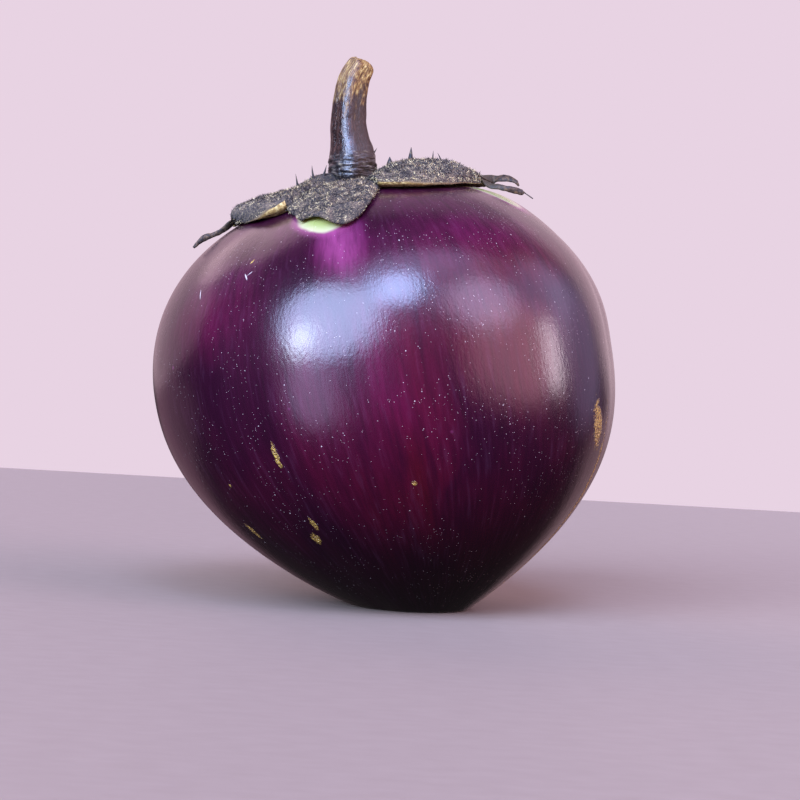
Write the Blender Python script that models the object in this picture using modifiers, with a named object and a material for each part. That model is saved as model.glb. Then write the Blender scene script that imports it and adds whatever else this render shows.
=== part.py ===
"""A round, dark purple eggplant that stands on its flattened blossom end.

Three pieces: the fruit, the dried calyx that drapes over its shoulders, and the short cut stem.
The fruit leans a little towards -X. The origin is the centre of the spot that it rests on, +Z is up,
and -Y is the side with the broad front sepal. Lengths are in metres, and angles in degrees.
"""

import math
import random
from collections import namedtuple

import bmesh
import bpy
from mathutils import Matrix, Vector, noise

# Fruit: two superellipse halves that meet at the widest height, along a leaning axis
FRUIT_RADIUS = 0.0567
WAIST_HEIGHT = 0.0580
CROWN_HEIGHT = 0.0455
TAPER_DEPTH = 0.0652
CROWN_POWER = 2.23
TAPER_RADIAL_POWER = 1.10
TAPER_AXIAL_POWER = 2.29
FRUIT_LEAN = 10.8
CROWN_SHIFT = 0.0018
TAPER_SHIFT = 0.0035
TAPER_SHIFT_FROM = 0.062
TAPER_SHIFT_OVER = 0.050
FLOOR_BLEND = 0.0004
DIMPLE_DEPTH = 0.0025
DIMPLE_RADIUS = 0.0090
FRUIT_SEGMENTS = 76
FRUIT_RINGS = 42

# Shallow furrows from crown to base: azimuth, depth and half-width in degrees
FURROWS = (
    (-8.0, 0.0011, 6.0),
    (-124.0, 0.0006, 7.0),
    (52.0, 0.0007, 13.0),
    (112.0, 0.0006, 12.0),
    (178.0, 0.0007, 14.0),
    (-62.0, 0.0004, 16.0),
)
LOBE_COUNT = 5
LOBE_SWELL = 0.0003
LOBE_TURN = 24.0

# Calyx
SKIN_GAP = 0.0004
HUB_HOLE = 0.0063
HUB_HOLE_FLARE = 0.25
BLADE_THICKNESS = 0.0012
MARGIN_THICKNESS = 0.0009
HUB_SHARE = 0.50
HUB_BULGE = 0.0022
SEPAL_COLUMNS = 12
SEPAL_ROWS = 20
ARCH_FULL_AT = 0.50
ARCH_LEFT_AT_TIP = 0.45
CRUMPLE = 0.0005
CRUMPLE_AT_MARGIN = 0.2
CRUMPLE_SIZE = 0.005
MARGIN_WAVE = 0.0003
MARGIN_WAVES = 3.5
MARGIN_WAVE_SKEW = 2.3
WELD = 0.00002

# A sepal reaches `length` from the stem's middle and is widest near `belly_at`, with its middle set sideways
# there and at its end. `hub` is its thickness at the stem, which thins out over the share `hub_run` of its
# length. `arch` is the rise of its midrib and `lift` that of its end. The notch is the one that comes before
# it, counter-clockwise from above
Sepal = namedtuple(
    "Sepal",
    "azimuth length belly_at belly_width belly_set end_width end_set "
    "hub hub_run arch lift notch_azimuth notch_radius prickles",
)
SEPALS = {
    "front": Sepal(
        -101.0, 0.0393, 0.0320, 0.0106, -0.0001, 0.0067, 0.0010,
        0.0012, 0.5, 0.0007, 0.0003, -121.0, 0.0280, 3,
    ),
    "right": Sepal(
        -18.0, 0.0305, 0.0285, 0.0135, -0.0060, 0.0020, 0.0027,
        0.0050, 0.6, 0.0028, 0.0006, -78.0, 0.0210, 6,
    ),
    "back_right": Sepal(
        54.0, 0.0370, 0.0280, 0.0135, 0.0010, 0.0009, -0.0020,
        0.0038, 0.5, 0.0020, 0.0014, 21.0, 0.0220, 4,
    ),
    "back_left": Sepal(
        120.0, 0.0385, 0.0290, 0.0140, -0.0010, 0.0009, 0.0020,
        0.0038, 0.5, 0.0018, 0.0009, 87.0, 0.0200, 4,
    ),
    "left": Sepal(
        -167.0, 0.0310, 0.0285, 0.0130, 0.0055, 0.0020, 0.0000,
        0.0058, 0.25, 0.0018, 0.0000, 153.0, 0.0220, 3,
    ),
}

# The front sepal ends in a broad lobe that reaches furthest right of its middle
LOBE_REACH = 0.0028
LOBE_SKEW = 1.8

# Dried tips that outrun their sepals: azimuth, radius, height off the skin, half-width and twist
# at each point
TIP_THICKNESS = 0.00045
TIP_ROOTS = (0.80, 0.92)
TIP_ROOT_WIDTH = 0.0013
TIP_SIDES = 8
TIP_STEPS = 3
TIPS = {
    "right_upper": (
        "right",
        (
            (-9.0, 0.0320, 0.0033, 0.0012, 55.0),
            (-11.0, 0.0337, 0.0041, 0.0011, 65.0),
            (-12.0, 0.0351, 0.0045, 0.0009, 60.0),
            (-13.0, 0.0365, 0.0045, 0.0006, 50.0),
            (-13.0, 0.0373, 0.0040, 0.0003, 40.0),
        ),
    ),
    "right_lower": (
        "right",
        (
            (-16.0, 0.0324, 0.0013, 0.0010, 40.0),
            (-16.0, 0.0342, 0.0016, 0.0008, 60.0),
            (-16.0, 0.0359, 0.0019, 0.0007, 80.0),
            (-15.0, 0.0373, 0.0024, 0.0008, 90.0),
            (-14.0, 0.0387, 0.0030, 0.0006, 80.0),
            (-14.0, 0.0400, 0.0033, 0.0003, 80.0),
        ),
    ),
    "left": (
        "left",
        (
            (-166.0, 0.0318, 0.0015, 0.0013, 30.0),
            (-166.0, 0.0345, 0.0012, 0.0007, 60.0),
            (-166.0, 0.0365, 0.0017, 0.0006, 90.0),
            (-166.0, 0.0380, 0.0024, 0.0008, 90.0),
            (-166.0, 0.0392, 0.0026, 0.0006, 80.0),
            (-166.0, 0.0408, 0.0025, 0.0004, 60.0),
        ),
    ),
}

# Prickles stand along each sepal's midrib
PRICKLE_SEED = 5
PRICKLE_FROM = 0.07
PRICKLE_STEP = 0.13
PRICKLE_JITTER = 0.02
PRICKLE_SPREAD = 0.22
PRICKLE_LENGTH = (0.0018, 0.0031)
PRICKLE_ROOT_RADIUS = 0.00042
PRICKLE_TIP_RADIUS = 0.00007
PRICKLE_SIDES = 5
PRICKLE_SUNK = 0.0007
PRICKLE_LEAN = 0.35

# Stem: heights off the skin with the radius at each, then points of its centre line in the XZ plane
STEM_FOOT = ((0.0010, 0.0048), (0.0030, 0.0051))
STEM_POINTS = (
    (-0.01880, 0.1058, 0.0058),
    (-0.01920, 0.1085, 0.0059),
    (-0.01960, 0.1112, 0.0054),
    (-0.02010, 0.1137, 0.0048),
    (-0.02070, 0.1175, 0.0044),
    (-0.02075, 0.1215, 0.0042),
    (-0.02060, 0.1250, 0.0040),
    (-0.02010, 0.1278, 0.0039),
    (-0.01935, 0.1298, 0.0038),
    (-0.01800, 0.1316, 0.0036),
)
STEM_STEPS = 3
STEM_SIDES = 20
STEM_RIDGES = 7
STEM_RIDGE_DEPTH = 0.00016
STEM_END_ROUNDING = 0.0018
STEM_END_STEPS = 4

PROBE_POLAR = 0.01
PROBE_AZIMUTH = 0.5
THICKEST = max(sepal.hub for sepal in SEPALS.values())
LEAN_TURN = Matrix.Rotation(math.radians(-FRUIT_LEAN), 3, "Y")


def smoothstep(value):
    t = min(max(value, 0.0), 1.0)
    return t * t * (3 - 2 * t)


def mix(a, b, share):
    return a + (b - a) * share


def angle_between(a, b):
    """The turn from b to a in degrees, between -180 and 180."""
    return (a - b + 180.0) % 360.0 - 180.0


def furrow_depth(azimuth):
    """How far the skin is drawn in at this azimuth, in metres."""
    depth = -LOBE_SWELL * math.cos(LOBE_COUNT * math.radians(azimuth - LOBE_TURN))
    for centre, deepest, half_width in FURROWS:
        depth += deepest * math.exp(-((angle_between(azimuth, centre) / half_width) ** 2))
    return depth


def above_floor(height):
    """Height with everything below the floor brought up to it, and a short round edge."""
    if height < -FLOOR_BLEND:
        return 0.0
    if height < FLOOR_BLEND:
        return (height + FLOOR_BLEND) ** 2 / (4 * FLOOR_BLEND)
    return height


def fruit_point(polar, azimuth):
    """A point of the skin, by the angle from the crown in radians and the azimuth in degrees."""
    wide, along = math.sin(polar), abs(math.cos(polar))
    if polar <= math.pi / 2:
        radius = FRUIT_RADIUS * wide ** (2 / CROWN_POWER)
        height = WAIST_HEIGHT + CROWN_HEIGHT * along ** (2 / CROWN_POWER)
        height -= DIMPLE_DEPTH * math.exp(-((radius / DIMPLE_RADIUS) ** 2))
    else:
        radius = FRUIT_RADIUS * wide ** (2 / TAPER_RADIAL_POWER)
        height = WAIST_HEIGHT - TAPER_DEPTH * along ** (2 / TAPER_AXIAL_POWER)
    radius -= furrow_depth(azimuth) * wide
    shift = CROWN_SHIFT + TAPER_SHIFT * smoothstep((TAPER_SHIFT_FROM - height) / TAPER_SHIFT_OVER)
    turn = math.radians(azimuth)
    point = Vector((radius * math.cos(turn) + shift, radius * math.sin(turn), height))
    point = LEAN_TURN @ point
    point.z = above_floor(point.z)
    return point


def skin_at(x, y):
    """The skin's point and outward normal, by a place on the crown measured flat from its centre."""
    radius, azimuth = max(math.hypot(x, y), 1e-5), math.degrees(math.atan2(y, x))
    polar = math.asin(min(radius / FRUIT_RADIUS, 1.0) ** (CROWN_POWER / 2))
    point = fruit_point(polar, azimuth)
    down = fruit_point(polar + PROBE_POLAR, azimuth) - point
    across = fruit_point(polar, azimuth + PROBE_AZIMUTH) - point
    return point, down.cross(across).normalized()


def between(p, q, r, s, t):
    """A Catmull-Rom value at the share t from q to r, with p before them and s after."""
    square = 2 * p - 5 * q + 4 * r - s
    cube = 3 * q - p - 3 * r + s
    return (2 * q + (r - p) * t + square * t**2 + cube * t**3) / 2


def through(points, steps):
    """Tuples along a smooth curve through the given ones, with this many steps between each two."""
    padded = [points[0], *points, points[-1]]
    made = []
    for i in range(1, len(padded) - 2):
        around = list(zip(*padded[i - 1 : i + 3]))
        for step in range(steps):
            made.append(tuple(between(*values, step / steps) for values in around))
    return [*made, tuple(points[-1])]


def material(name, colour, roughness):
    made = bpy.data.materials.new(name)
    made.use_nodes = True
    shader = made.node_tree.nodes["Principled BSDF"]
    shader.inputs["Base Color"].default_value = (*colour, 1.0)
    shader.inputs["Roughness"].default_value = roughness
    shader.inputs["Metallic"].default_value = 0.0
    return made


def add_object(name, mesh, collection, finish):
    made = bpy.data.objects.new(name, mesh)
    mesh.materials.append(finish)
    collection.objects.link(made)
    return made


def mesh_of(name, shape):
    """A named mesh from a bmesh, which is freed."""
    mesh = bpy.data.meshes.new(name)
    shape.to_mesh(mesh)
    shape.free()
    return mesh


def build_fruit(collection, finish):
    shape = bmesh.new()
    bmesh.ops.create_uvsphere(shape, u_segments=FRUIT_SEGMENTS, v_segments=FRUIT_RINGS, radius=1.0)
    for vertex in shape.verts:
        polar = math.acos(min(max(vertex.co.z, -1.0), 1.0))
        vertex.co = fruit_point(polar, math.degrees(math.atan2(vertex.co.y, vertex.co.x)))
    bmesh.ops.recalc_face_normals(shape, faces=shape.faces)
    mesh = mesh_of("fruit", shape)
    mesh.shade_smooth()
    return add_object("fruit", mesh, collection, finish)


def direction(azimuth):
    turn = math.radians(azimuth)
    return Vector((math.cos(turn), math.sin(turn)))


def neighbour(name, step):
    names = list(SEPALS)
    return SEPALS[names[(names.index(name) + step) % len(names)]]


def rim_place(name, across):
    """Where a sepal leaves the hub: the arc from its first notch to the next sepal's."""
    sepal, following = SEPALS[name], neighbour(name, 1)
    share = (across + 1) / 2
    span = angle_between(following.notch_azimuth, sepal.notch_azimuth) % 360.0
    azimuth = sepal.notch_azimuth + share * span
    radius = mix(sepal.notch_radius, following.notch_radius, share) + HUB_BULGE * (1 - across**2)
    return azimuth, radius


def sepal_place(name, across, along):
    """A place on the flat crown, by the share across a sepal from -1 to 1 and along it from 0 to 1."""
    sepal = SEPALS[name]
    rim_azimuth, rim_radius = rim_place(name, across)
    if along <= HUB_SHARE:
        hole = HUB_HOLE + HUB_HOLE_FLARE * sepal_thickness(name, across, 0.0)
        return direction(rim_azimuth) * mix(hole, rim_radius, along / HUB_SHARE)
    t = (along - HUB_SHARE) / (1 - HUB_SHARE)
    outward, sideways = direction(sepal.azimuth), direction(sepal.azimuth + 90.0)
    belly = outward * sepal.belly_at + sideways * (sepal.belly_set + across * sepal.belly_width)
    end = outward * sepal.length + sideways * (sepal.end_set + across * sepal.end_width)
    if name == "front":
        end += outward * LOBE_REACH * (1 - across**2) * (1 + LOBE_SKEW * across)
    return direction(rim_azimuth) * rim_radius * (1 - t) ** 2 + belly * 2 * t * (1 - t) + end * t**2


def sepal_height(name, across, along, place):
    """How far a sepal's underside stands off the skin."""
    sepal = SEPALS[name]
    free = max(along - HUB_SHARE, 0.0) / (1 - HUB_SHARE)
    past_full = (along - ARCH_FULL_AT) / (1 - ARCH_FULL_AT)
    arch = sepal.arch * (1 - across**2) * smoothstep(along / ARCH_FULL_AT)
    arch *= mix(1.0, ARCH_LEFT_AT_TIP, smoothstep(past_full))
    turn = MARGIN_WAVES * 2 * math.pi * free + MARGIN_WAVE_SKEW * across
    wave = MARGIN_WAVE * free * across**2 * (1 + math.sin(turn))
    crumple = CRUMPLE * smoothstep(along / HUB_SHARE) * mix(1.0, CRUMPLE_AT_MARGIN, across**4)
    crumple *= 1 + noise.noise(Vector((place.x, place.y, 0.0)) / CRUMPLE_SIZE)
    return SKIN_GAP + arch + sepal.lift * free**2 + wave + crumple


def sepal_thickness(name, across, along):
    own, beside = SEPALS[name], neighbour(name, 1 if across > 0 else -1)
    edge = min(own.hub, beside.hub)
    hub = mix(edge, own.hub, (1 - across**2) ** 2)
    run = mix((own.hub_run + beside.hub_run) / 2, own.hub_run, (1 - across**2) ** 2)
    blade = mix(BLADE_THICKNESS, MARGIN_THICKNESS, across**4)
    return mix(hub, blade, smoothstep(along / run))


def sepal_point(name, across, along, depth=0.0):
    """A point of a sepal's underside, or this share of its thickness above it, and the skin's normal."""
    place = sepal_place(name, across, along)
    point, normal = skin_at(place.x, place.y)
    height = sepal_height(name, across, along, place) + depth * sepal_thickness(name, across, along)
    return point + normal * height, normal


def build_sepals(collection, finish):
    """The calyx's underside, one grid a sepal welded along the hub, given its thickness by Solidify."""
    shape = bmesh.new()
    weights = shape.verts.layers.deform.verify()
    for name in SEPALS:
        grid = bmesh.ops.create_grid(shape, x_segments=SEPAL_COLUMNS, y_segments=SEPAL_ROWS, size=1.0)
        for vertex in grid["verts"]:
            across, along = vertex.co.x, (vertex.co.y + 1) / 2
            vertex[weights][0] = sepal_thickness(name, across, along) / THICKEST
            vertex.co = sepal_point(name, across, along)[0]
    bmesh.ops.remove_doubles(shape, verts=shape.verts, dist=WELD)
    bmesh.ops.recalc_face_normals(shape, faces=shape.faces)
    shape.faces.ensure_lookup_table()
    if sum(face.normal.z * face.calc_area() for face in shape.faces) < 0:
        bmesh.ops.reverse_faces(shape, faces=shape.faces)
    made = add_object("calyx", mesh_of("calyx", shape), collection, finish)
    made.vertex_groups.new(name="thickness")
    thicken = made.modifiers.new("Thickness", "SOLIDIFY")
    thicken.thickness = THICKEST
    thicken.offset = 1.0
    thicken.vertex_group = "thickness"
    return made


def tip_stations(sepal_name, points):
    """Places along a dried tip, outwards from inside its sepal: centre, skin normal, half-width, twist."""
    roots = [sepal_point(sepal_name, 0.0, along, depth=0.5) for along in TIP_ROOTS]
    stations = [(*root, *normal, TIP_ROOT_WIDTH, 0.0) for root, normal in roots]
    for azimuth, radius, height, half_width, twist in points:
        flat = direction(azimuth) * radius
        point, normal = skin_at(flat.x, flat.y)
        stations.append((*(point + normal * height), *normal, half_width, twist))
    return [(Vector(row[:3]), Vector(row[3:6]), *row[6:]) for row in through(stations, TIP_STEPS)]


def build_tip(name, sepal_name, points, collection, finish):
    """A narrow dried tip: a flat oval carried along its stations, turning as it goes."""
    stations = tip_stations(sepal_name, points)
    shape = bmesh.new()
    rings = []
    for i, (centre, normal, half_width, twist) in enumerate(stations):
        ahead = (stations[min(i + 1, len(stations) - 1)][0] - stations[max(i - 1, 0)][0]).normalized()
        side = Matrix.Rotation(math.radians(twist), 3, ahead) @ ahead.cross(normal).normalized()
        up = side.cross(ahead)
        turns = [2 * math.pi * k / TIP_SIDES for k in range(TIP_SIDES)]
        offsets = [side * half_width * math.cos(turn) + up * TIP_THICKNESS * math.sin(turn) for turn in turns]
        rings.append([shape.verts.new(centre + offset) for offset in offsets])
    for first, second in zip(rings, rings[1:]):
        for k in range(TIP_SIDES):
            following = (k + 1) % TIP_SIDES
            shape.faces.new((first[k], first[following], second[following], second[k]))
    shape.faces.new(reversed(rings[0]))
    shape.faces.new(rings[-1])
    bmesh.ops.recalc_face_normals(shape, faces=shape.faces)
    return add_object(f"tip_{name}", mesh_of(f"tip_{name}", shape), collection, finish)


def build_prickle(name, across, along, length, lean, collection, finish):
    """A thin cone with its root sunk in a sepal."""
    root, normal = sepal_point(name, across, along, depth=1.0)
    axis = (normal + lean).normalized()
    shape = bmesh.new()
    bmesh.ops.create_cone(
        shape,
        cap_ends=True,
        segments=PRICKLE_SIDES,
        radius1=PRICKLE_ROOT_RADIUS,
        radius2=PRICKLE_TIP_RADIUS,
        depth=length + PRICKLE_SUNK,
    )
    centre = root + axis * (length - PRICKLE_SUNK) / 2
    place = Matrix.Translation(centre) @ axis.to_track_quat("Z", "Y").to_matrix().to_4x4()
    bmesh.ops.transform(shape, matrix=place, verts=shape.verts)
    return add_object("prickle", mesh_of("prickle", shape), collection, finish)


def build_prickles(collection, finish):
    draw = random.Random(PRICKLE_SEED)
    for name in SEPALS:
        for step in range(SEPALS[name].prickles):
            along = PRICKLE_FROM + PRICKLE_STEP * step + draw.uniform(-PRICKLE_JITTER, PRICKLE_JITTER)
            across = draw.uniform(-PRICKLE_SPREAD, PRICKLE_SPREAD)
            length = draw.uniform(*PRICKLE_LENGTH)
            lean = Vector([draw.uniform(-PRICKLE_LEAN, PRICKLE_LEAN) for _ in range(3)])
            build_prickle(name, across, along, length, lean, collection, finish)


def apply_modifiers(made):
    graph = bpy.context.evaluated_depsgraph_get()
    mesh = bpy.data.meshes.new_from_object(made.evaluated_get(graph))
    made.modifiers.clear()
    made.data = mesh


def build_calyx(collection, finish):
    calyx = build_sepals(collection, finish)
    apply_modifiers(calyx)
    additions = bpy.data.collections.new("calyx_additions")
    bpy.context.scene.collection.children.link(additions)
    for name, (sepal_name, points) in TIPS.items():
        build_tip(name, sepal_name, points, additions, finish)
    build_prickles(additions, finish)
    join = calyx.modifiers.new("Join", "BOOLEAN")
    join.operation = "UNION"
    join.operand_type = "COLLECTION"
    join.collection = additions
    join.solver = "EXACT"
    apply_modifiers(calyx)
    for piece in list(additions.objects):
        bpy.data.objects.remove(piece)
    bpy.data.collections.remove(additions)
    return calyx


def stem_line():
    """The stem's centre line and radii, from its foot just off the skin to its cut end with a round edge."""
    pole, normal = skin_at(0.0, 0.0)
    foot = [(*(pole + normal * height).xz, radius) for height, radius in STEM_FOOT]
    line = through([*foot, *STEM_POINTS], STEM_STEPS)
    x, z, radius = line[-1]
    ahead = Vector((x - line[-2][0], z - line[-2][1])).normalized() * STEM_END_ROUNDING
    for step in range(1, STEM_END_STEPS + 1):
        turn = math.pi / 2 * step / STEM_END_STEPS
        narrowed = radius - STEM_END_ROUNDING * (1 - math.cos(turn))
        line.append((x + ahead.x * math.sin(turn), z + ahead.y * math.sin(turn), narrowed))
    return line


def tube_mesh(line):
    """The mesh of a round tube along a line in the XZ plane, with a radius at each point and flat ends."""
    curve = bpy.data.curves.new("stem_line", "CURVE")
    curve.dimensions = "3D"
    curve.bevel_depth = 1.0
    curve.bevel_resolution = (STEM_SIDES - 4) // 2
    curve.use_fill_caps = True
    spline = curve.splines.new("POLY")
    spline.points.add(len(line) - 1)
    for point, (x, z, radius) in zip(spline.points, line):
        point.co = (x, 0.0, z, 1.0)
        point.radius = radius
    guide = bpy.data.objects.new("stem_line", curve)
    bpy.context.scene.collection.objects.link(guide)
    mesh = bpy.data.meshes.new_from_object(guide.evaluated_get(bpy.context.evaluated_depsgraph_get()))
    bpy.data.objects.remove(guide)
    return mesh


def build_stem(collection, finish):
    line = stem_line()
    shape = bmesh.new()
    shape.from_mesh(tube_mesh(line))
    bmesh.ops.remove_doubles(shape, verts=shape.verts, dist=WELD)
    for vertex in shape.verts:
        x, z, radius = min(line, key=lambda point: math.hypot(vertex.co.x - point[0], vertex.co.z - point[1]))
        turn = math.atan2(vertex.co.y, vertex.co.x - x)
        ridge = STEM_RIDGE_DEPTH * math.cos(STEM_RIDGES * turn + z / radius)
        vertex.co.x += ridge * math.cos(turn)
        vertex.co.y += ridge * math.sin(turn)
    bmesh.ops.recalc_face_normals(shape, faces=shape.faces)
    mesh = mesh_of("stem", shape)
    mesh.shade_smooth()
    mesh.set_sharp_from_angle(angle=math.radians(40))
    return add_object("stem", mesh, collection, finish)


def main():
    for old in list(bpy.data.objects):
        bpy.data.objects.remove(old)
    eggplant = bpy.data.collections.new("eggplant")
    bpy.context.scene.collection.children.link(eggplant)
    build_fruit(eggplant, material("purple_skin", (0.045, 0.006, 0.035), 0.25))
    build_calyx(eggplant, material("dried_calyx", (0.055, 0.048, 0.042), 0.85))
    build_stem(eggplant, material("woody_stem", (0.060, 0.038, 0.026), 0.45))


main()
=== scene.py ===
"""Looks of a round, dark purple eggplant with a dried, prickly calyx and a short cut stem.

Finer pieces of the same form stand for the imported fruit, calyx and stem. The fruit leans a little
towards -X, +Z is up, and -Y is the side with the broad front sepal. Lengths are in metres and angles
in degrees, unless a name says otherwise.
"""

import math
import random
from collections import namedtuple

import bmesh
import bpy
from mathutils import Matrix, Vector, noise
from mathutils.bvhtree import BVHTree
from mathutils.geometry import barycentric_transform


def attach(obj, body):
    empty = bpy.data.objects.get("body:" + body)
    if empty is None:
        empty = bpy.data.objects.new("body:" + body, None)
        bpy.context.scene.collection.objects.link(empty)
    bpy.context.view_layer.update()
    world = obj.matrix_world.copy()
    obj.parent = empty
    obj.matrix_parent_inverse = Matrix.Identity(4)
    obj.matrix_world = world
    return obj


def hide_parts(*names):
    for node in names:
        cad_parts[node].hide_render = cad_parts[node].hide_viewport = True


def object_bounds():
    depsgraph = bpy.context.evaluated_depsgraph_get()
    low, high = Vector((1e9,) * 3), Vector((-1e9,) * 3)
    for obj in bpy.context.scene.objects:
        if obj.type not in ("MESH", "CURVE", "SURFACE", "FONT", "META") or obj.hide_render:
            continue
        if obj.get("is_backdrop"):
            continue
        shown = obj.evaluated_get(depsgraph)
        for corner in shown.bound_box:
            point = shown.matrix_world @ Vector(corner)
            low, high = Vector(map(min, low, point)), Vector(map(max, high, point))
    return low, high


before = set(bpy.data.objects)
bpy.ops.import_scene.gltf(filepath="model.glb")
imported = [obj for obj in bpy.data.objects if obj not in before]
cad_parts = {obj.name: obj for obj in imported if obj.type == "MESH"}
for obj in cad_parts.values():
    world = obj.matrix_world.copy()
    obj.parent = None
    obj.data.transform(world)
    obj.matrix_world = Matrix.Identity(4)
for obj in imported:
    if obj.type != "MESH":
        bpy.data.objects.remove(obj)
CAD_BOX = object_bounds()
BODY = "root"

# Fruit: two superellipse halves that meet at the widest height, along a leaning axis
FRUIT_RADIUS = 0.0567
WAIST_HEIGHT = 0.0580
CROWN_HEIGHT = 0.0455
TAPER_DEPTH = 0.0652
CROWN_POWER = 2.23
TAPER_RADIAL_POWER = 1.10
TAPER_AXIAL_POWER = 2.29
FRUIT_LEAN = 10.8
CROWN_SHIFT = 0.0018
TAPER_SHIFT = 0.0035
TAPER_SHIFT_FROM = 0.062
TAPER_SHIFT_OVER = 0.050
FLOOR_BLEND = 0.0004
DIMPLE_DEPTH = 0.0025
DIMPLE_RADIUS = 0.0090
FRUIT_SEGMENTS = 300
FRUIT_RINGS = 230
DENT_SIZE = 0.009
DENT_DEPTH = 0.00022
# Heights from the floor between which the dents come in
DENTS_FROM = 0.0005
DENTS_FULL_AT = 0.006
SEAM_AT_BACK = 90.0

# Shallow furrows from crown to base: azimuth, depth and half-width in degrees
FURROWS = (
    (-8.0, 0.0011, 6.0),
    (-124.0, 0.0006, 7.0),
    (52.0, 0.0007, 13.0),
    (112.0, 0.0006, 12.0),
    (178.0, 0.0007, 14.0),
    (-62.0, 0.0004, 16.0),
)
# A lip behind the furrow at -8 degrees: azimuth, angle from the crown, half-width and half-height in degrees,
# and how far it stands out
LIP = (9.0, 80.0, 10.0, 22.0, 0.0013)
# The crown's shoulder by the right sepal's end, in the same terms, but raised straight up
SHOULDER = (-12.0, 36.0, 34.0, 13.0, 0.0011)
LOBE_COUNT = 5
LOBE_SWELL = 0.0003
LOBE_TURN = 24.0

# Calyx
SKIN_GAP = 0.0003
HUB_HOLE = 0.0049
HUB_FULL_TO = 0.0063
HUB_FULL_FLARE = 0.25
BLADE_THICKNESS = 0.0012
MARGIN_THICKNESS = 0.0019
MARGIN_AT_NOTCH = 1.45
MARGIN_AT_TIP = 0.70
LOBE_MARGIN_THICKNESS = 0.0008
MARGIN_CHANGES_FROM = 0.52
MARGIN_CHANGES_OVER = 0.30
END_THINNING = 0.40
END_THINS_FROM = 0.75
LEAST_THICKNESS = 0.0003
COLLAR_RADIUS = 0.0101
COLLAR_FADE = 0.0016
HUB_SHARE = 0.50
HUB_BULGE = 0.0022
SEPAL_COLUMNS = 64
SEPAL_ROWS = 96
ARCH_FULL_AT = 0.50
ARCH_LEFT_AT_TIP = 0.35
CRUMPLE = 0.0005
CRUMPLE_AT_MARGIN = 0.2
CRUMPLE_SIZE = 0.005
MARGIN_WAVE = 0.0001
MARGIN_WAVES = 3.5
MARGIN_WAVE_SKEW = 2.3
WELD = 0.00002

# A sepal reaches `length` from the stem's middle and is widest near `belly_at`, with its middle set sideways
# there and at its end. `hub` is its thickness at the stem, which thins out over the share `hub_run` of its
# length. `arch` is the rise of its midrib and `lift` that of its end. The notch is the one that comes before
# it, counter-clockwise from above
Sepal = namedtuple(
    "Sepal",
    "azimuth length belly_at belly_width belly_set end_width end_set "
    "hub hub_run arch lift notch_azimuth notch_radius",
)
SEPALS = {
    "front": Sepal(
        -101.0, 0.0393, 0.0320, 0.0106, -0.0001, 0.0067, 0.0010,
        0.0012, 0.5, 0.0007, 0.0003, -120.0, 0.0322,
    ),
    "right": Sepal(
        -18.0, 0.0305, 0.0285, 0.0139, -0.0064, 0.0020, 0.0027,
        0.0050, 0.6, 0.0028, 0.0006, -79.0, 0.0246,
    ),
    "back_right": Sepal(
        54.0, 0.0370, 0.0280, 0.0135, 0.0010, 0.0009, -0.0020,
        0.0038, 0.5, 0.0020, 0.0014, 21.0, 0.0220,
    ),
    "back_left": Sepal(
        120.0, 0.0385, 0.0290, 0.0140, -0.0010, 0.0009, 0.0020,
        0.0038, 0.5, 0.0018, 0.0009, 87.0, 0.0200,
    ),
    "left": Sepal(
        -167.0, 0.0310, 0.0310, 0.0151, 0.0077, 0.0020, 0.0000,
        0.0058, 0.25, 0.0018, 0.0000, 153.0, 0.0220,
    ),
}

# The front sepal ends in a broad lobe that reaches furthest right of its middle. A fold crosses the lobe,
# from one flat place on the crown (azimuth, radius) to another, and the flap past it stands up a little
LOBE_REACH = 0.0023
LOBE_SKEW = 1.8
FOLD_FROM = (-105.0, 0.0394)
FOLD_TO = (-86.0, 0.0352)
FOLD_DEPTH = 0.0005
FOLD_WIDTH = 0.0005
FLAP_RISE = 0.0001

# Relief of the dried blades: noise size and height of each, coarse to fine, and the veins along a sepal
BLADE_RELIEF = ((0.0024, 0.00022), (0.0011, 0.00014), (0.0005, 0.00006))
VEINS = 7.0
VEIN_HEIGHT = 0.00012
MIDRIB_HEIGHT = 0.0003
MIDRIB_WIDTH = 0.10
VEINS_FROM = 0.25
VEINS_OVER = 0.25
FOLD_ENDS_FROM = 0.90
FOLD_ENDS_OVER = 0.08

# Where the felt gives way: the bare margin's start past the hub, its share on the felted front lobe, and the
# left sepal's thin end, from a share of its length, over a share and to a strength
MARGIN_OVER = 0.1
FRONT_MARGIN_SHARE = 0.4
LEFT_THIN_FROM = 0.40
LEFT_THIN_OVER = 0.20
LEFT_THIN_SHARE = 1.2

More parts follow.
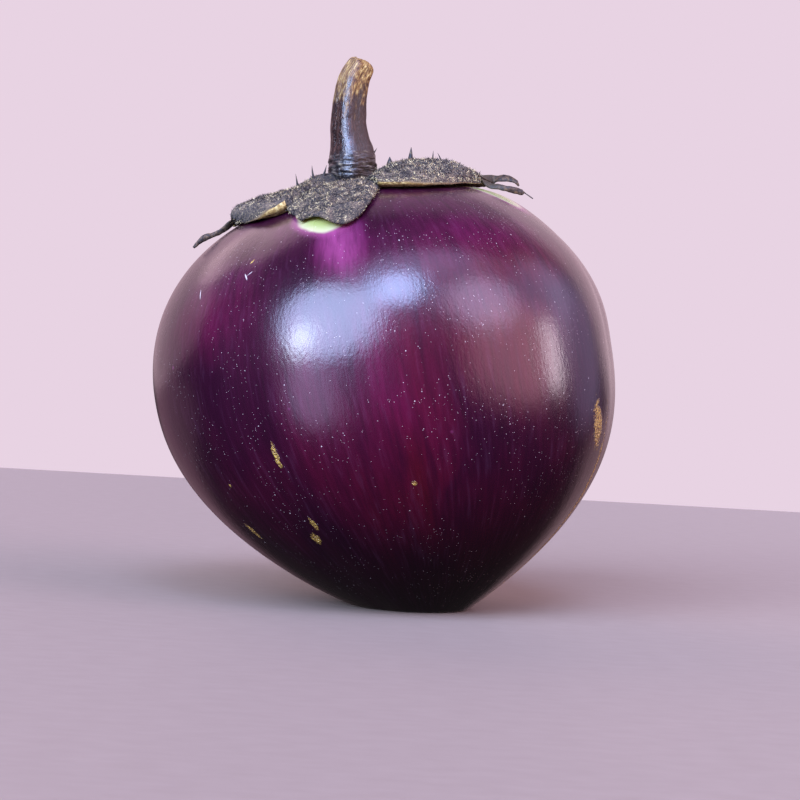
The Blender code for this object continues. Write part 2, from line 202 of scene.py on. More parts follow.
# Dried tips that outrun their sepals: azimuth, radius, height off the skin, half-width and twist
# at each point
TIP_THICKNESS = 0.00038
TIP_ROOTS = (0.80, 0.92)
TIP_ROOT_WIDTH = 0.0013
TIP_SIDES = 20
TIP_STEPS = 12
TIP_WRINKLE = 0.00010
TIP_WRINKLE_SIZE = 0.0009
TIPS = {
    "right_upper": (
        "right",
        (
            (-9.0, 0.0320, 0.0033, 0.0012, 55.0),
            (-11.0, 0.0337, 0.0041, 0.0011, 65.0),
            (-12.0, 0.0351, 0.0045, 0.0009, 60.0),
            (-13.0, 0.0365, 0.0045, 0.0006, 50.0),
            (-13.0, 0.0374, 0.0039, 0.0002, 40.0),
        ),
    ),
    "right_lower": (
        "right",
        (
            (-16.0, 0.0324, 0.0013, 0.0010, 40.0),
            (-16.0, 0.0342, 0.0016, 0.0008, 60.0),
            (-16.0, 0.0359, 0.0019, 0.0007, 80.0),
            (-15.0, 0.0373, 0.0024, 0.0008, 90.0),
            (-14.0, 0.0386, 0.0029, 0.0007, 80.0),
            (-14.0, 0.0390, 0.0031, 0.0002, 80.0),
            (-14.0, 0.0408, 0.0030, 0.00012, 80.0),
        ),
    ),
    "left": (
        "left",
        (
            (-166.0, 0.0318, 0.0015, 0.0013, 30.0),
            (-166.0, 0.0345, 0.0012, 0.0007, 60.0),
            (-166.0, 0.0365, 0.0017, 0.0006, 90.0),
            (-166.0, 0.0380, 0.0024, 0.0008, 90.0),
            (-166.0, 0.0392, 0.0026, 0.0006, 80.0),
            (-166.0, 0.0409, 0.0025, 0.0003, 60.0),
        ),
    ),
}

# Prickles that stand out against the fruit: azimuth and radius of the root on the crown, reach of the tip
# in X and Z, bend and root radius
PRICKLES = (
    (-150.0, 0.0162, (-0.0005, 0.0030), 0.10, 0.00035),
    (-150.0, 0.0120, (-0.0011, 0.0030), 0.35, 0.00040),
    (-150.0, 0.0096, (0.0007, 0.0026), 0.10, 0.00040),
    (-20.0, 0.0096, (-0.0003, 0.0022), 0.15, 0.00130),
    (-20.0, 0.0141, (0.0002, 0.0033), 0.10, 0.00085),
    (-20.0, 0.0191, (0.0000, 0.0024), 0.05, 0.00032),
    (-20.0, 0.0214, (-0.0007, 0.0021), 0.50, 0.00035),
    (-20.0, 0.0223, (0.0001, 0.0012), 0.10, 0.00025),
    (-15.0, 0.0294, (0.0006, 0.0009), 0.20, 0.00022),
)
PRICKLE_FORWARD = -0.0003
PRICKLE_SINK = 0.0008
# A prickle whose bend is 1 leans over by this share of its length at this distance from its root
BEND_SHARE = 0.3
BEND_DISTANCE = 0.003
STEM_PRICKLE = ((-0.0142, -0.0008, 0.1112), (0.0006, 0.0012), 0.2, 0.0003)
# Prickles on the sepals at the back, by a seeded rule
HIDDEN_SEPALS = ("back_right", "back_left")
HIDDEN_PRICKLES = 4
HIDDEN_SEED = 5
HIDDEN_FIRST_ALONG = 0.12
HIDDEN_STEP_ALONG = 0.14
HIDDEN_SPREAD_ALONG = 0.03
HIDDEN_SPREAD_ACROSS = 0.2
HIDDEN_LEAN = 0.3
HIDDEN_LENGTHS = (0.0018, 0.0031)
HIDDEN_BENDS = (0.0, 0.4)
HIDDEN_ROOT_RADIUS = 0.00035
# Height over the skin from which a ray looks for the calyx's top
PROBE_HEIGHT = 0.02

# Hairs of the felt: their sizes on the calyx, the density at the stem's foot, shares of their length, and how
# much paler they are at a margin
HAIR_SIZES = {
    "Hairs per square metre": 9.6e6,
    "Length": 0.0007,
    "Root radius": 0.000068,
    "Uprightness": 0.12,
    "Seed": 4,
}
FOOT_HAIRS_PER_SQUARE_METRE = 6.0e6
HAIR_SHORTEST = 0.5
HAIR_LONGEST = 1.3
HAIR_PALER_AT_MARGIN = 0.7
HAIR_WAY_SEED = 3
HAIR_LENGTH_SEED = 7
HAIR_SHADE_SEED = 11

# Shares of the faces left without hairs on the flap and by the stem, where the bare margin begins, and the
# share of the stem's foot that has hairs and where along the stem they end
FLAP_BARE = 0.7
COLLAR_BARE = 0.8
BARE_MARGIN_FROM = 0.75
BARE_MARGIN_OVER = 0.15
CALYX_FELT_SEED = 8
FOOT_FELT = 0.4
FOOT_FELT_TO = 0.26
FOOT_FELT_OVER = 0.10
FOOT_FELT_SEED = 2

# Stem: heights off the skin with the radius at each, then points of its centre line in the XZ plane
STEM_FOOT = ((-0.0006, 0.0049), (0.0010, 0.0050), (0.0030, 0.0053))
STEM_POINTS = (
    (-0.01880, 0.1058, 0.0058),
    (-0.01920, 0.1085, 0.0059),
    (-0.01960, 0.1112, 0.0054),
    (-0.02010, 0.1137, 0.0048),
    (-0.02070, 0.1175, 0.0044),
    (-0.02075, 0.1215, 0.0042),
    (-0.02060, 0.1250, 0.0040),
    (-0.02020, 0.1278, 0.0039),
    (-0.01965, 0.1298, 0.0037),
    (-0.01862, 0.1320, 0.0034),
)
STEM_STEPS = 6
STEM_RINGS = 280
STEM_SIDES = 120
STEM_END_ROUNDING = 0.0017
STEM_END_STEPS = 8
STEM_RIDGES = 5.0
STEM_RIDGE_DEPTH = 0.00028
STEM_CREST = -103.0
FOOT_SCALES_PER_METRE = 900.0
# The side on which the bark is rubbed matt
STEM_WORN_SIDE = -30.0

# The photograph's camera
CAMERA_PLACE = (-0.0044, -0.444, 0.0506)
CAMERA_ROLL = 3.2
CAMERA_LENS_MM = 80.82
SENSOR_MM = 36.0


def smoothstep(value):
    t = min(max(value, 0.0), 1.0)
    return t * t * (3 - 2 * t)


def mix(a, b, share):
    return a + (b - a) * share


def angle_between(a, b):
    """The turn from b to a in degrees, between -180 and 180."""
    return (a - b + 180.0) % 360.0 - 180.0


def direction(azimuth):
    turn = math.radians(azimuth)
    return Vector((math.cos(turn), math.sin(turn)))


def tint(code):
    """A linear colour from an sRGB hex code."""
    shares = [int(code[i : i + 2], 16) / 255 for i in (0, 2, 4)]
    linear = [s / 12.92 if s <= 0.04045 else ((s + 0.055) / 1.055) ** 2.4 for s in shares]
    return (*linear, 1.0)


def feed(tree, node, inputs):
    """Links or sets the inputs of a node, by name or number."""
    for key, value in inputs.items():
        if isinstance(value, bpy.types.NodeSocket):
            tree.links.new(value, node.inputs[key])
        else:
            node.inputs[key].default_value = value


def add(tree, kind, inputs=(), output=None, stops=(), **settings):
    """Adds a node with its settings and links, and gives its named output, or the first in use."""
    made = tree.nodes.new(kind)
    for setting, value in settings.items():
        setattr(made, setting, value)
    feed(tree, made, inputs if isinstance(inputs, dict) else dict(enumerate(inputs)))
    if stops:
        spots = made.color_ramp.elements
        spots.remove(spots[1])
        spots[0].position, spots[0].color = stops[0][0], tint(stops[0][1])
        for place, code in stops[1:]:
            spots.new(place).color = tint(code)
    return made.outputs[output] if output is not None else next(s for s in made.outputs if s.enabled)


def new_material(name):
    """A material, its node tree and its shader."""
    made = bpy.data.materials.new(name)
    made.use_nodes = True
    return made, made.node_tree, made.node_tree.nodes["Principled BSDF"]


def oval_reach(tree, place, centre, turns, half_sizes):
    """How far a place lies from a centre, 1 at the edge of a turned oval of these half-sizes."""
    spread = add(
        tree, "ShaderNodeMapping",
        {"Vector": place, "Location": centre, "Rotation": turns, "Scale": half_sizes},
        vector_type="TEXTURE",
    )
    return add(tree, "ShaderNodeVectorMath", [spread], output="Value", operation="LENGTH")


def new_tree(name, sizes):
    """A geometry tree with named inputs, its group input node and its output node."""
    tree = bpy.data.node_groups.new(name, "GeometryNodeTree")
    tree.interface.new_socket("Geometry", in_out="INPUT", socket_type="NodeSocketGeometry")
    for label, value in sizes.items():
        kind = "NodeSocketInt" if isinstance(value, int) else "NodeSocketFloat"
        tree.interface.new_socket(label, in_out="INPUT", socket_type=kind)
    tree.interface.new_socket("Geometry", in_out="OUTPUT", socket_type="NodeSocketGeometry")
    return tree, tree.nodes.new("NodeGroupInput").outputs, tree.nodes.new("NodeGroupOutput").inputs


def end_tree(tree, shape, finish, target):
    """Realizes the instances, sets the material and links the tree's output."""
    real = add(tree, "GeometryNodeRealizeInstances", [shape])
    made = add(tree, "GeometryNodeSetMaterial", {"Geometry": real, "Material": finish})
    tree.links.new(made, target["Geometry"])


def evaluated_mesh(piece):
    """A new mesh from an object as its modifiers leave it, with its attributes."""
    graph = bpy.context.evaluated_depsgraph_get()
    shape = piece.evaluated_get(graph)
    return bpy.data.meshes.new_from_object(shape, preserve_all_data_layers=True, depsgraph=graph)


def grown(name, base, tree, sizes):
    """The plain mesh object that a tree makes from a base mesh or curve."""
    source = bpy.data.objects.new(name + "_source", base)
    bpy.context.scene.collection.objects.link(source)
    modifier = source.modifiers.new("Grow", "NODES")
    modifier.node_group = tree
    for socket in tree.interface.items_tree:
        if socket.in_out == "INPUT" and socket.name in sizes:
            modifier[socket.identifier] = sizes[socket.name]
    mesh = evaluated_mesh(source)
    bpy.data.objects.remove(source)
    mesh.name = name
    made = bpy.data.objects.new(name, mesh)
    bpy.context.scene.collection.objects.link(made)
    return made


def fruit_tree(finish, sizes):
    """The fruit as a sphere moved by its formula, with the places that its patterns follow."""
    tree, given, target = new_tree("round_fruit", sizes)
    ball = add(
        tree, "GeometryNodeMeshUVSphere",
        {"Segments": given["Segments"], "Rings": given["Rings"], "Radius": 1.0},
    ).node
    ring_map = add(
        tree, "GeometryNodeStoreNamedAttribute",
        {"Geometry": ball.outputs["Mesh"], "Name": "skin_map", "Value": ball.outputs["UV Map"]},
        data_type="FLOAT2", domain="CORNER",
    )
    place = add(tree, "GeometryNodeInputPosition")
    place = add(
        tree, "ShaderNodeVectorRotate", {"Vector": place, "Angle": math.radians(SEAM_AT_BACK)},
        rotation_type="Z_AXIS",
    )
    x, y, z = add(tree, "ShaderNodeSeparateXYZ", [place]).node.outputs
    flat = add(tree, "ShaderNodeCombineXYZ", [x, y, 0.0])
    wide = add(tree, "ShaderNodeVectorMath", [flat], output="Value", operation="LENGTH")
    outward = add(tree, "ShaderNodeVectorMath", [flat], operation="NORMALIZE")
    along = add(tree, "ShaderNodeMath", [z], operation="ABSOLUTE")
    turn = add(tree, "ShaderNodeMath", [y, x], operation="ARCTAN2")
    degrees = add(tree, "ShaderNodeMath", [turn], operation="DEGREES")

    radius_share = add(tree, "ShaderNodeMath", [wide, 2 / CROWN_POWER], operation="POWER")
    crown_radius = add(tree, "ShaderNodeMath", [radius_share, given["Radius"]], operation="MULTIPLY")
    rise = add(tree, "ShaderNodeMath", [along, 2 / CROWN_POWER], operation="POWER")
    crown_height = add(
        tree, "ShaderNodeMath", [rise, given["Crown height"], given["Waist height"]], operation="MULTIPLY_ADD"
    )
    dimple = add(tree, "ShaderNodeMath", [crown_radius, DIMPLE_RADIUS], operation="DIVIDE")
    dimple = add(tree, "ShaderNodeMath", [dimple, 2.0], operation="POWER")
    dimple = add(tree, "ShaderNodeMath", [dimple, -1.0], operation="MULTIPLY")
    dimple = add(tree, "ShaderNodeMath", [dimple], operation="EXPONENT")
    crown_height = add(
        tree, "ShaderNodeMath", [dimple, -DIMPLE_DEPTH, crown_height], operation="MULTIPLY_ADD"
    )

    radius_share = add(tree, "ShaderNodeMath", [wide, 2 / TAPER_RADIAL_POWER], operation="POWER")
    taper_radius = add(tree, "ShaderNodeMath", [radius_share, given["Radius"]], operation="MULTIPLY")
    drop = add(tree, "ShaderNodeMath", [along, 2 / TAPER_AXIAL_POWER], operation="POWER")
    drop = add(tree, "ShaderNodeMath", [drop, given["Taper depth"]], operation="MULTIPLY")
    taper_height = add(tree, "ShaderNodeMath", [given["Waist height"], drop], operation="SUBTRACT")

    above = add(tree, "ShaderNodeMath", [z, 0.0], operation="GREATER_THAN")
    radius = add(tree, "ShaderNodeMix", {0: above, 2: taper_radius, 3: crown_radius})
    height = add(tree, "ShaderNodeMix", {0: above, 2: taper_height, 3: crown_height})

    lobes = add(tree, "ShaderNodeMath", [turn, math.radians(-LOBE_TURN)], operation="ADD")
    lobes = add(tree, "ShaderNodeMath", [lobes, float(LOBE_COUNT)], operation="MULTIPLY")
    lobes = add(tree, "ShaderNodeMath", [lobes], operation="COSINE")
    depth = add(tree, "ShaderNodeMath", [lobes, -LOBE_SWELL], operation="MULTIPLY")
    for centre, deepest, half_width in FURROWS:
        away = add(tree, "ShaderNodeMath", [degrees, -centre], operation="ADD")
        away = add(tree, "ShaderNodeMath", [away, 180.0, -180.0], operation="WRAP")
        away = add(tree, "ShaderNodeMath", [away, half_width], operation="DIVIDE")
        away = add(tree, "ShaderNodeMath", [away, away], operation="MULTIPLY")
        away = add(tree, "ShaderNodeMath", [away, -1.0], operation="MULTIPLY")
        away = add(tree, "ShaderNodeMath", [away], operation="EXPONENT")
        depth = add(tree, "ShaderNodeMath", [away, deepest, depth], operation="MULTIPLY_ADD")
    depth = add(tree, "ShaderNodeMath", [depth, wide], operation="MULTIPLY")
    radius = add(tree, "ShaderNodeMath", [radius, depth], operation="SUBTRACT")
    polar = add(tree, "ShaderNodeMath", [z], operation="ARCCOSINE")
    polar_degrees = add(tree, "ShaderNodeMath", [polar], operation="DEGREES")
    raised = []
    for (azimuth, angle, width, reach, rise), under in ((LIP, radius), (SHOULDER, height)):
        away = add(tree, "ShaderNodeCombineXYZ", [degrees, polar_degrees, 0.0])
        away = add(tree, "ShaderNodeVectorMath", [away, (-azimuth, -angle, 0.0)], operation="ADD")
        away = add(tree, "ShaderNodeVectorMath", [away, (width, reach, 1.0)], operation="DIVIDE")
        away = add(tree, "ShaderNodeVectorMath", [away, away], output="Value", operation="DOT_PRODUCT")
        away = add(tree, "ShaderNodeMath", [away, -1.0], operation="MULTIPLY")
        away = add(tree, "ShaderNodeMath", [away], operation="EXPONENT")
        raised.append(add(tree, "ShaderNodeMath", [away, rise, under], operation="MULTIPLY_ADD"))
    radius, height = raised

    flat = add(tree, "ShaderNodeVectorMath", {0: outward, "Scale": radius}, operation="SCALE")
    upright = add(tree, "ShaderNodeCombineXYZ", {"Z": height})
    own = add(tree, "ShaderNodeVectorMath", [flat, upright], operation="ADD")
    tapered = TAPER_SHIFT_FROM - TAPER_SHIFT_OVER
    shift = add(
        tree, "ShaderNodeMapRange",
        [height, TAPER_SHIFT_FROM, tapered, CROWN_SHIFT, CROWN_SHIFT + TAPER_SHIFT],
        interpolation_type="SMOOTHSTEP",
    )
    shift = add(tree, "ShaderNodeCombineXYZ", {"X": shift})
    moved = add(tree, "ShaderNodeVectorMath", [own, shift], operation="ADD")
    moved = add(
        tree, "ShaderNodeVectorRotate", {"Vector": moved, "Angle": math.radians(-FRUIT_LEAN)},
        rotation_type="Y_AXIS",
    )
    split = add(tree, "ShaderNodeSeparateXYZ", [moved]).node
    # below the floor everything is brought up to it, with a short round edge
    edge = add(tree, "ShaderNodeMapRange", [split.outputs[2], -FLOOR_BLEND, FLOOR_BLEND, 0.0, 1.0])
    edge = add(tree, "ShaderNodeMath", [edge, 2.0], operation="POWER")
    over = add(tree, "ShaderNodeMath", [split.outputs[2], -FLOOR_BLEND], operation="ADD")
    over = add(tree, "ShaderNodeMath", [over, 0.0], operation="MAXIMUM")
    floor_height = add(tree, "ShaderNodeMath", [edge, FLOOR_BLEND, over], operation="MULTIPLY_ADD")
    final = add(tree, "ShaderNodeCombineXYZ", [split.outputs[0], split.outputs[1], floor_height])

    run = add(tree, "ShaderNodeMath", [polar, given["Radius"]], operation="MULTIPLY")
    around = add(tree, "ShaderNodeVectorMath", {0: outward, "Scale": given["Radius"]}, operation="SCALE")
    run = add(tree, "ShaderNodeCombineXYZ", {"Z": run})
    grain = add(tree, "ShaderNodeVectorMath", [around, run], operation="ADD")
    shape = add(
        tree, "GeometryNodeStoreNamedAttribute",
        {"Geometry": ring_map, "Name": "grain_place", "Value": grain},
        data_type="FLOAT_VECTOR",
    )
    shape = add(
        tree, "GeometryNodeStoreNamedAttribute", {"Geometry": shape, "Name": "own_place", "Value": own},
        data_type="FLOAT_VECTOR",
    )
    shape = add(tree, "GeometryNodeSetPosition", {"Geometry": shape, "Position": final})
    # the skin's slow dents, left out near the floor so that the flat spot stays flat
    dents = add(tree, "ShaderNodeTexNoise", {"Vector": own, "Scale": 1 / DENT_SIZE, "Detail": 2.0})
    dents = add(tree, "ShaderNodeMath", [dents, -0.5], operation="ADD")
    dents = add(tree, "ShaderNodeMath", [dents, 2 * DENT_DEPTH], operation="MULTIPLY")
    clear = add(tree, "ShaderNodeMapRange", [floor_height, DENTS_FROM, DENTS_FULL_AT, 0.0, 1.0])
    dents = add(tree, "ShaderNodeMath", [dents, clear], operation="MULTIPLY")
    normal = add(tree, "GeometryNodeInputNormal")
    dents = add(tree, "ShaderNodeVectorMath", {0: normal, "Scale": dents}, operation="SCALE")
    shape = add(tree, "GeometryNodeSetPosition", {"Geometry": shape, "Offset": dents})
    shape = add(tree, "GeometryNodeSetShadeSmooth", {"Geometry": shape})
    end_tree(tree, shape, finish, target)
    return tree


def build_fruit(finish):
    sizes = {
        "Radius": FRUIT_RADIUS,
        "Waist height": WAIST_HEIGHT,
        "Crown height": CROWN_HEIGHT,
        "Taper depth": TAPER_DEPTH,
        "Segments": FRUIT_SEGMENTS,
        "Rings": FRUIT_RINGS,
    }
    return grown("eggplant_fruit", bpy.data.meshes.new("fruit_source"), fruit_tree(finish, sizes), sizes)


class Crown:
    """Points and normals of the fruit's upper half, by a place measured flat from its axis."""

    def __init__(self, fruit):
        mesh = fruit.data
        own = [Vector(item.vector) for item in mesh.attributes["own_place"].data]
        self.points = [vertex.co.copy() for vertex in mesh.vertices]
        self.normals = [vertex.normal.copy() for vertex in mesh.vertices]
        self.flat = [Vector((place.x, place.y, 0.0)) for place in own]
        mesh.calc_loop_triangles()
        corners = [tuple(face.vertices) for face in mesh.loop_triangles]
        self.faces = [three for three in corners if all(own[i].z > WAIST_HEIGHT for i in three)]
        self.tree = BVHTree.FromPolygons(self.flat, self.faces)

    def at(self, x, y):
        hit, _, index, _ = self.tree.find_nearest(Vector((x, y, 0.0)))
        corners = self.faces[index]
        flat = [self.flat[i] for i in corners]
        point = barycentric_transform(hit, *flat, *[self.points[i] for i in corners])
        normal = barycentric_transform(hit, *flat, *[self.normals[i] for i in corners])
        return point, normal.normalized()


def between(p, q, r, s, t):
    """A Catmull-Rom value at the share t from q to r, with p before them and s after."""
    square = 2 * p - 5 * q + 4 * r - s
    cube = 3 * q - p - 3 * r + s
    return (2 * q + (r - p) * t + square * t**2 + cube * t**3) / 2


def through(points, steps):
    """Tuples along a smooth curve through the given ones, with this many steps between each two."""
    padded = [points[0], *points, points[-1]]
    made = []
    for i in range(1, len(padded) - 2):
        around = list(zip(*padded[i - 1 : i + 3]))
        for step in range(steps):
            made.append(tuple(between(*values, step / steps) for values in around))
    return [*made, tuple(points[-1])]


def neighbour(name, step):
    names = list(SEPALS)
    return SEPALS[names[(names.index(name) + step) % len(names)]]


def rim_place(name, across):
    """Where a sepal leaves the hub: the arc from its first notch to the next sepal's."""
    sepal, following = SEPALS[name], neighbour(name, 1)
    share = (across + 1) / 2
    span = angle_between(following.notch_azimuth, sepal.notch_azimuth) % 360.0
    azimuth = sepal.notch_azimuth + share * span
    radius = mix(sepal.notch_radius, following.notch_radius, share) + HUB_BULGE * (1 - across**2)
    return azimuth, radius


def sepal_place(name, across, along):
    """A place on the flat crown, by the share across a sepal from -1 to 1 and along it from 0 to 1."""
    sepal = SEPALS[name]
    rim_azimuth, rim_radius = rim_place(name, across)
    if along <= HUB_SHARE:
        return direction(rim_azimuth) * mix(HUB_HOLE, rim_radius, along / HUB_SHARE)
    t = (along - HUB_SHARE) / (1 - HUB_SHARE)
    outward, sideways = direction(sepal.azimuth), direction(sepal.azimuth + 90.0)
    belly = outward * sepal.belly_at + sideways * (sepal.belly_set + across * sepal.belly_width)
    end = outward * sepal.length + sideways * (sepal.end_set + across * sepal.end_width)
    if name == "front":
        end += outward * LOBE_REACH * (1 - across**2) * (1 + LOBE_SKEW * across)
    return direction(rim_azimuth) * rim_radius * (1 - t) ** 2 + belly * 2 * t * (1 - t) + end * t**2


def past_fold(place):
    """How far a place lies past the front lobe's fold, in metres, negative before it."""
    start = direction(FOLD_FROM[0]) * FOLD_FROM[1]
    run = direction(FOLD_TO[0]) * FOLD_TO[1] - start
    outward = Vector((run.y, -run.x)).normalized()
    return (place - start).dot(outward)


def sepal_height(name, across, along, place):
    """How far a sepal's underside stands off the skin."""
    sepal = SEPALS[name]
    free = max(along - HUB_SHARE, 0.0) / (1 - HUB_SHARE)
    past_full = (along - ARCH_FULL_AT) / (1 - ARCH_FULL_AT)
    arch = sepal.arch * (1 - across**2) * smoothstep(along / ARCH_FULL_AT)
    arch *= mix(1.0, ARCH_LEFT_AT_TIP, smoothstep(past_full))
    turn = MARGIN_WAVES * 2 * math.pi * free + MARGIN_WAVE_SKEW * across
    wave = MARGIN_WAVE * free * across**2 * (1 + math.sin(turn))
    crumple = CRUMPLE * smoothstep(along / HUB_SHARE) * mix(1.0, CRUMPLE_AT_MARGIN, across**4)
    crumple *= 1 + noise.noise(Vector((place.x, place.y, 0.0)) / CRUMPLE_SIZE)
    height = SKIN_GAP + arch + sepal.lift * free**2 + wave + crumple
    if name == "front":
        past = past_fold(place)
        height += FLAP_RISE * smoothstep(past / FOLD_WIDTH / 3)
    return height


def sepal_thickness(name, across, along):
    own, beside = SEPALS[name], neighbour(name, 1 if across > 0 else -1)
    full_along = along
    edge = min(own.hub, beside.hub)
    hub = mix(edge, own.hub, (1 - across**2) ** 2)
    if along <= HUB_SHARE:
        # the hub keeps its full thickness for a few millimetres around the stem
        rim = rim_place(name, across)[1]
        radius = mix(HUB_HOLE, rim, along / HUB_SHARE)
        full_to = HUB_FULL_TO + HUB_FULL_FLARE * hub
        along = HUB_SHARE * max((radius - full_to) / (rim - full_to), 0.0)
    run = mix((own.hub_run + beside.hub_run) / 2, own.hub_run, (1 - across**2) ** 2)
    changed = smoothstep((full_along - MARGIN_CHANGES_FROM) / MARGIN_CHANGES_OVER)
    share = mix(MARGIN_AT_NOTCH, MARGIN_AT_TIP, changed)
    margin = LOBE_MARGIN_THICKNESS if name == "front" else MARGIN_THICKNESS * share
    blade = mix(BLADE_THICKNESS, margin, across**4)
    at_end = smoothstep((along - END_THINS_FROM) / (1 - END_THINS_FROM))
    return mix(hub, blade, smoothstep(along / run)) * mix(1.0, END_THINNING, at_end)


def top_relief(name, across, along, place):
    """The crumples, veins and midrib that the top of a sepal has over its underside."""
    flat = Vector((place.x, place.y, 0.0))
    relief = sum(height * noise.noise(flat / size) for size, height in BLADE_RELIEF)
    shown = smoothstep((along - VEINS_FROM) / VEINS_OVER)
    relief += shown * VEIN_HEIGHT * math.cos(VEINS * math.pi * across) * (1 - across**2)
    relief += shown * MIDRIB_HEIGHT * math.exp(-((across / MIDRIB_WIDTH) ** 2))
    if name == "front":
        inside = 1 - smoothstep((along - FOLD_ENDS_FROM) / FOLD_ENDS_OVER)
        relief -= inside * FOLD_DEPTH * math.exp(-((past_fold(place) / FOLD_WIDTH) ** 2))
    return relief


def sepal_point(crown, name, across, along, depth=0.0):
    """A point of a sepal's underside, or this share of its thickness above it, and the skin's normal."""
    place = sepal_place(name, across, along)
    point, normal = crown.at(place.x, place.y)
    height = sepal_height(name, across, along, place) + depth * sepal_thickness(name, across, along)
    return point + normal * height, normal


def mesh_of(name, shape):
    """A named mesh from a bmesh, which is freed."""
    mesh = bpy.data.meshes.new(name)
    shape.to_mesh(mesh)
    shape.free()
    return mesh


def add_object(name, mesh, *finishes):
    made = bpy.data.objects.new(name, mesh)
    for finish in finishes:
        mesh.materials.append(finish)
    bpy.context.scene.collection.objects.link(made)
    return made


def applied(made):
    """The object with its modifiers applied."""
    mesh = evaluated_mesh(made)
    made.modifiers.clear()
    made.data = mesh
    return made


def build_sepals(crown, felt, edge):
    """The five sepals, one grid each, welded along the hub and given their thickness by Solidify."""
    shape = bmesh.new()
    weights = shape.verts.layers.deform.verify()
    margin = shape.verts.layers.float.new("margin")
    thin_felt = shape.verts.layers.float.new("thin_felt")
    crease = shape.verts.layers.float.new("crease")
    lobe = shape.verts.layers.float.new("front_lobe")
    collar = shape.verts.layers.float.new("collar")
    spots = {}
    for name in SEPALS:
        grid = bmesh.ops.create_grid(shape, x_segments=SEPAL_COLUMNS, y_segments=SEPAL_ROWS, size=1.0)
        for vertex in grid["verts"]:
            across, along = vertex.co.x, (vertex.co.y + 1) / 2
            place = sepal_place(name, across, along)
            thickness = sepal_thickness(name, across, along) + top_relief(name, across, along, place)
            spots[vertex] = max(thickness, LEAST_THICKNESS)
            vertex[collar] = 1 - smoothstep((place.length - COLLAR_RADIUS) / COLLAR_FADE)
            free = smoothstep((along - HUB_SHARE) / MARGIN_OVER)
            vertex[margin] = max(free * abs(across) ** 3, along**12)
            if name == "front":
                vertex[margin] *= FRONT_MARGIN_SHARE
                vertex[thin_felt] = smoothstep(past_fold(place) / FOLD_WIDTH)
                vertex[crease] = math.exp(-((past_fold(place) / FOLD_WIDTH) ** 2))
                vertex[lobe] = 1.0
            elif name == "left":
                thinned = smoothstep((along - LEFT_THIN_FROM) / LEFT_THIN_OVER)
                vertex[thin_felt] = LEFT_THIN_SHARE * thinned
            vertex.co = sepal_point(crown, name, across, along)[0]
    thickest = max(spots.values())
    for vertex, thickness in spots.items():
        vertex[weights][0] = thickness / thickest
    bmesh.ops.remove_doubles(shape, verts=shape.verts, dist=WELD)
    bmesh.ops.recalc_face_normals(shape, faces=shape.faces)
    if sum(face.normal.z * face.calc_area() for face in shape.faces) < 0:
        bmesh.ops.reverse_faces(shape, faces=shape.faces)
    for face in shape.faces:
        face.smooth = True
    made = add_object("calyx_sepals", mesh_of("calyx_sepals", shape), felt, edge, edge)
    made.vertex_groups.new(name="thickness")
    thicken = made.modifiers.new("Thickness", "SOLIDIFY")
    thicken.thickness = thickest
    thicken.offset = 1.0
    thicken.vertex_group = "thickness"
    thicken.material_offset = 1
    thicken.material_offset_rim = 2
    made = applied(made)
    # the broad front lobe is felted over its edge, the other sepals show theirs bare
    felted_over = made.data.attributes["front_lobe"].data
    for face in made.data.polygons:
        if face.material_index == 2 and all(felted_over[i].value > 0.5 for i in face.vertices):
            face.material_index = 0
    return made


def tip_stations(crown, sepal_name, points):
    """Places along a dried tip, outwards from inside its sepal: centre, skin normal, half-width, twist."""
    roots = [sepal_point(crown, sepal_name, 0.0, along, depth=0.5) for along in TIP_ROOTS]
    stations = [(*root, *normal, TIP_ROOT_WIDTH, 0.0) for root, normal in roots]
    for azimuth, radius, height, half_width, twist in points:
        flat = direction(azimuth) * radius
        point, normal = crown.at(flat.x, flat.y)
        stations.append((*(point + normal * height), *normal, half_width, twist))
    return [(Vector(row[:3]), Vector(row[3:6]), *row[6:]) for row in through(stations, TIP_STEPS)]


def build_tips(crown, finish):
    """The narrow dried tips: flat wrinkled ovals carried along their stations, turning as they go."""
    shape = bmesh.new()
    along = shape.verts.layers.float.new("along_tip")
    for sepal_name, points in TIPS.values():
        stations = tip_stations(crown, sepal_name, points)
        rings = []
        for i, (centre, normal, half_width, twist) in enumerate(stations):
            ahead = (stations[min(i + 1, len(stations) - 1)][0] - stations[max(i - 1, 0)][0]).normalized()
            side = Matrix.Rotation(math.radians(twist), 3, ahead) @ ahead.cross(normal).normalized()
            up = side.cross(ahead)
            ring = []
            for k in range(TIP_SIDES):
                turn = 2 * math.pi * k / TIP_SIDES
                thin = min(TIP_THICKNESS, half_width)
                spot = centre + side * half_width * math.cos(turn) + up * thin * math.sin(turn)
                dent = min(TIP_WRINKLE, 0.3 * half_width) * noise.noise(spot / TIP_WRINKLE_SIZE)
                vertex = shape.verts.new(spot + (spot - centre).normalized() * dent)
                vertex[along] = i / (len(stations) - 1)
                ring.append(vertex)
            rings.append(ring)
        for first, second in zip(rings, rings[1:]):
            for k in range(TIP_SIDES):
                following = (k + 1) % TIP_SIDES
                shape.faces.new((first[k], first[following], second[following], second[k]))
        shape.faces.new(reversed(rings[0]))
        shape.faces.new(rings[-1])
    bmesh.ops.recalc_face_normals(shape, faces=shape.faces)
    for face in shape.faces:
        face.smooth = True
    return add_object("calyx_tips", mesh_of("calyx_tips", shape), finish)


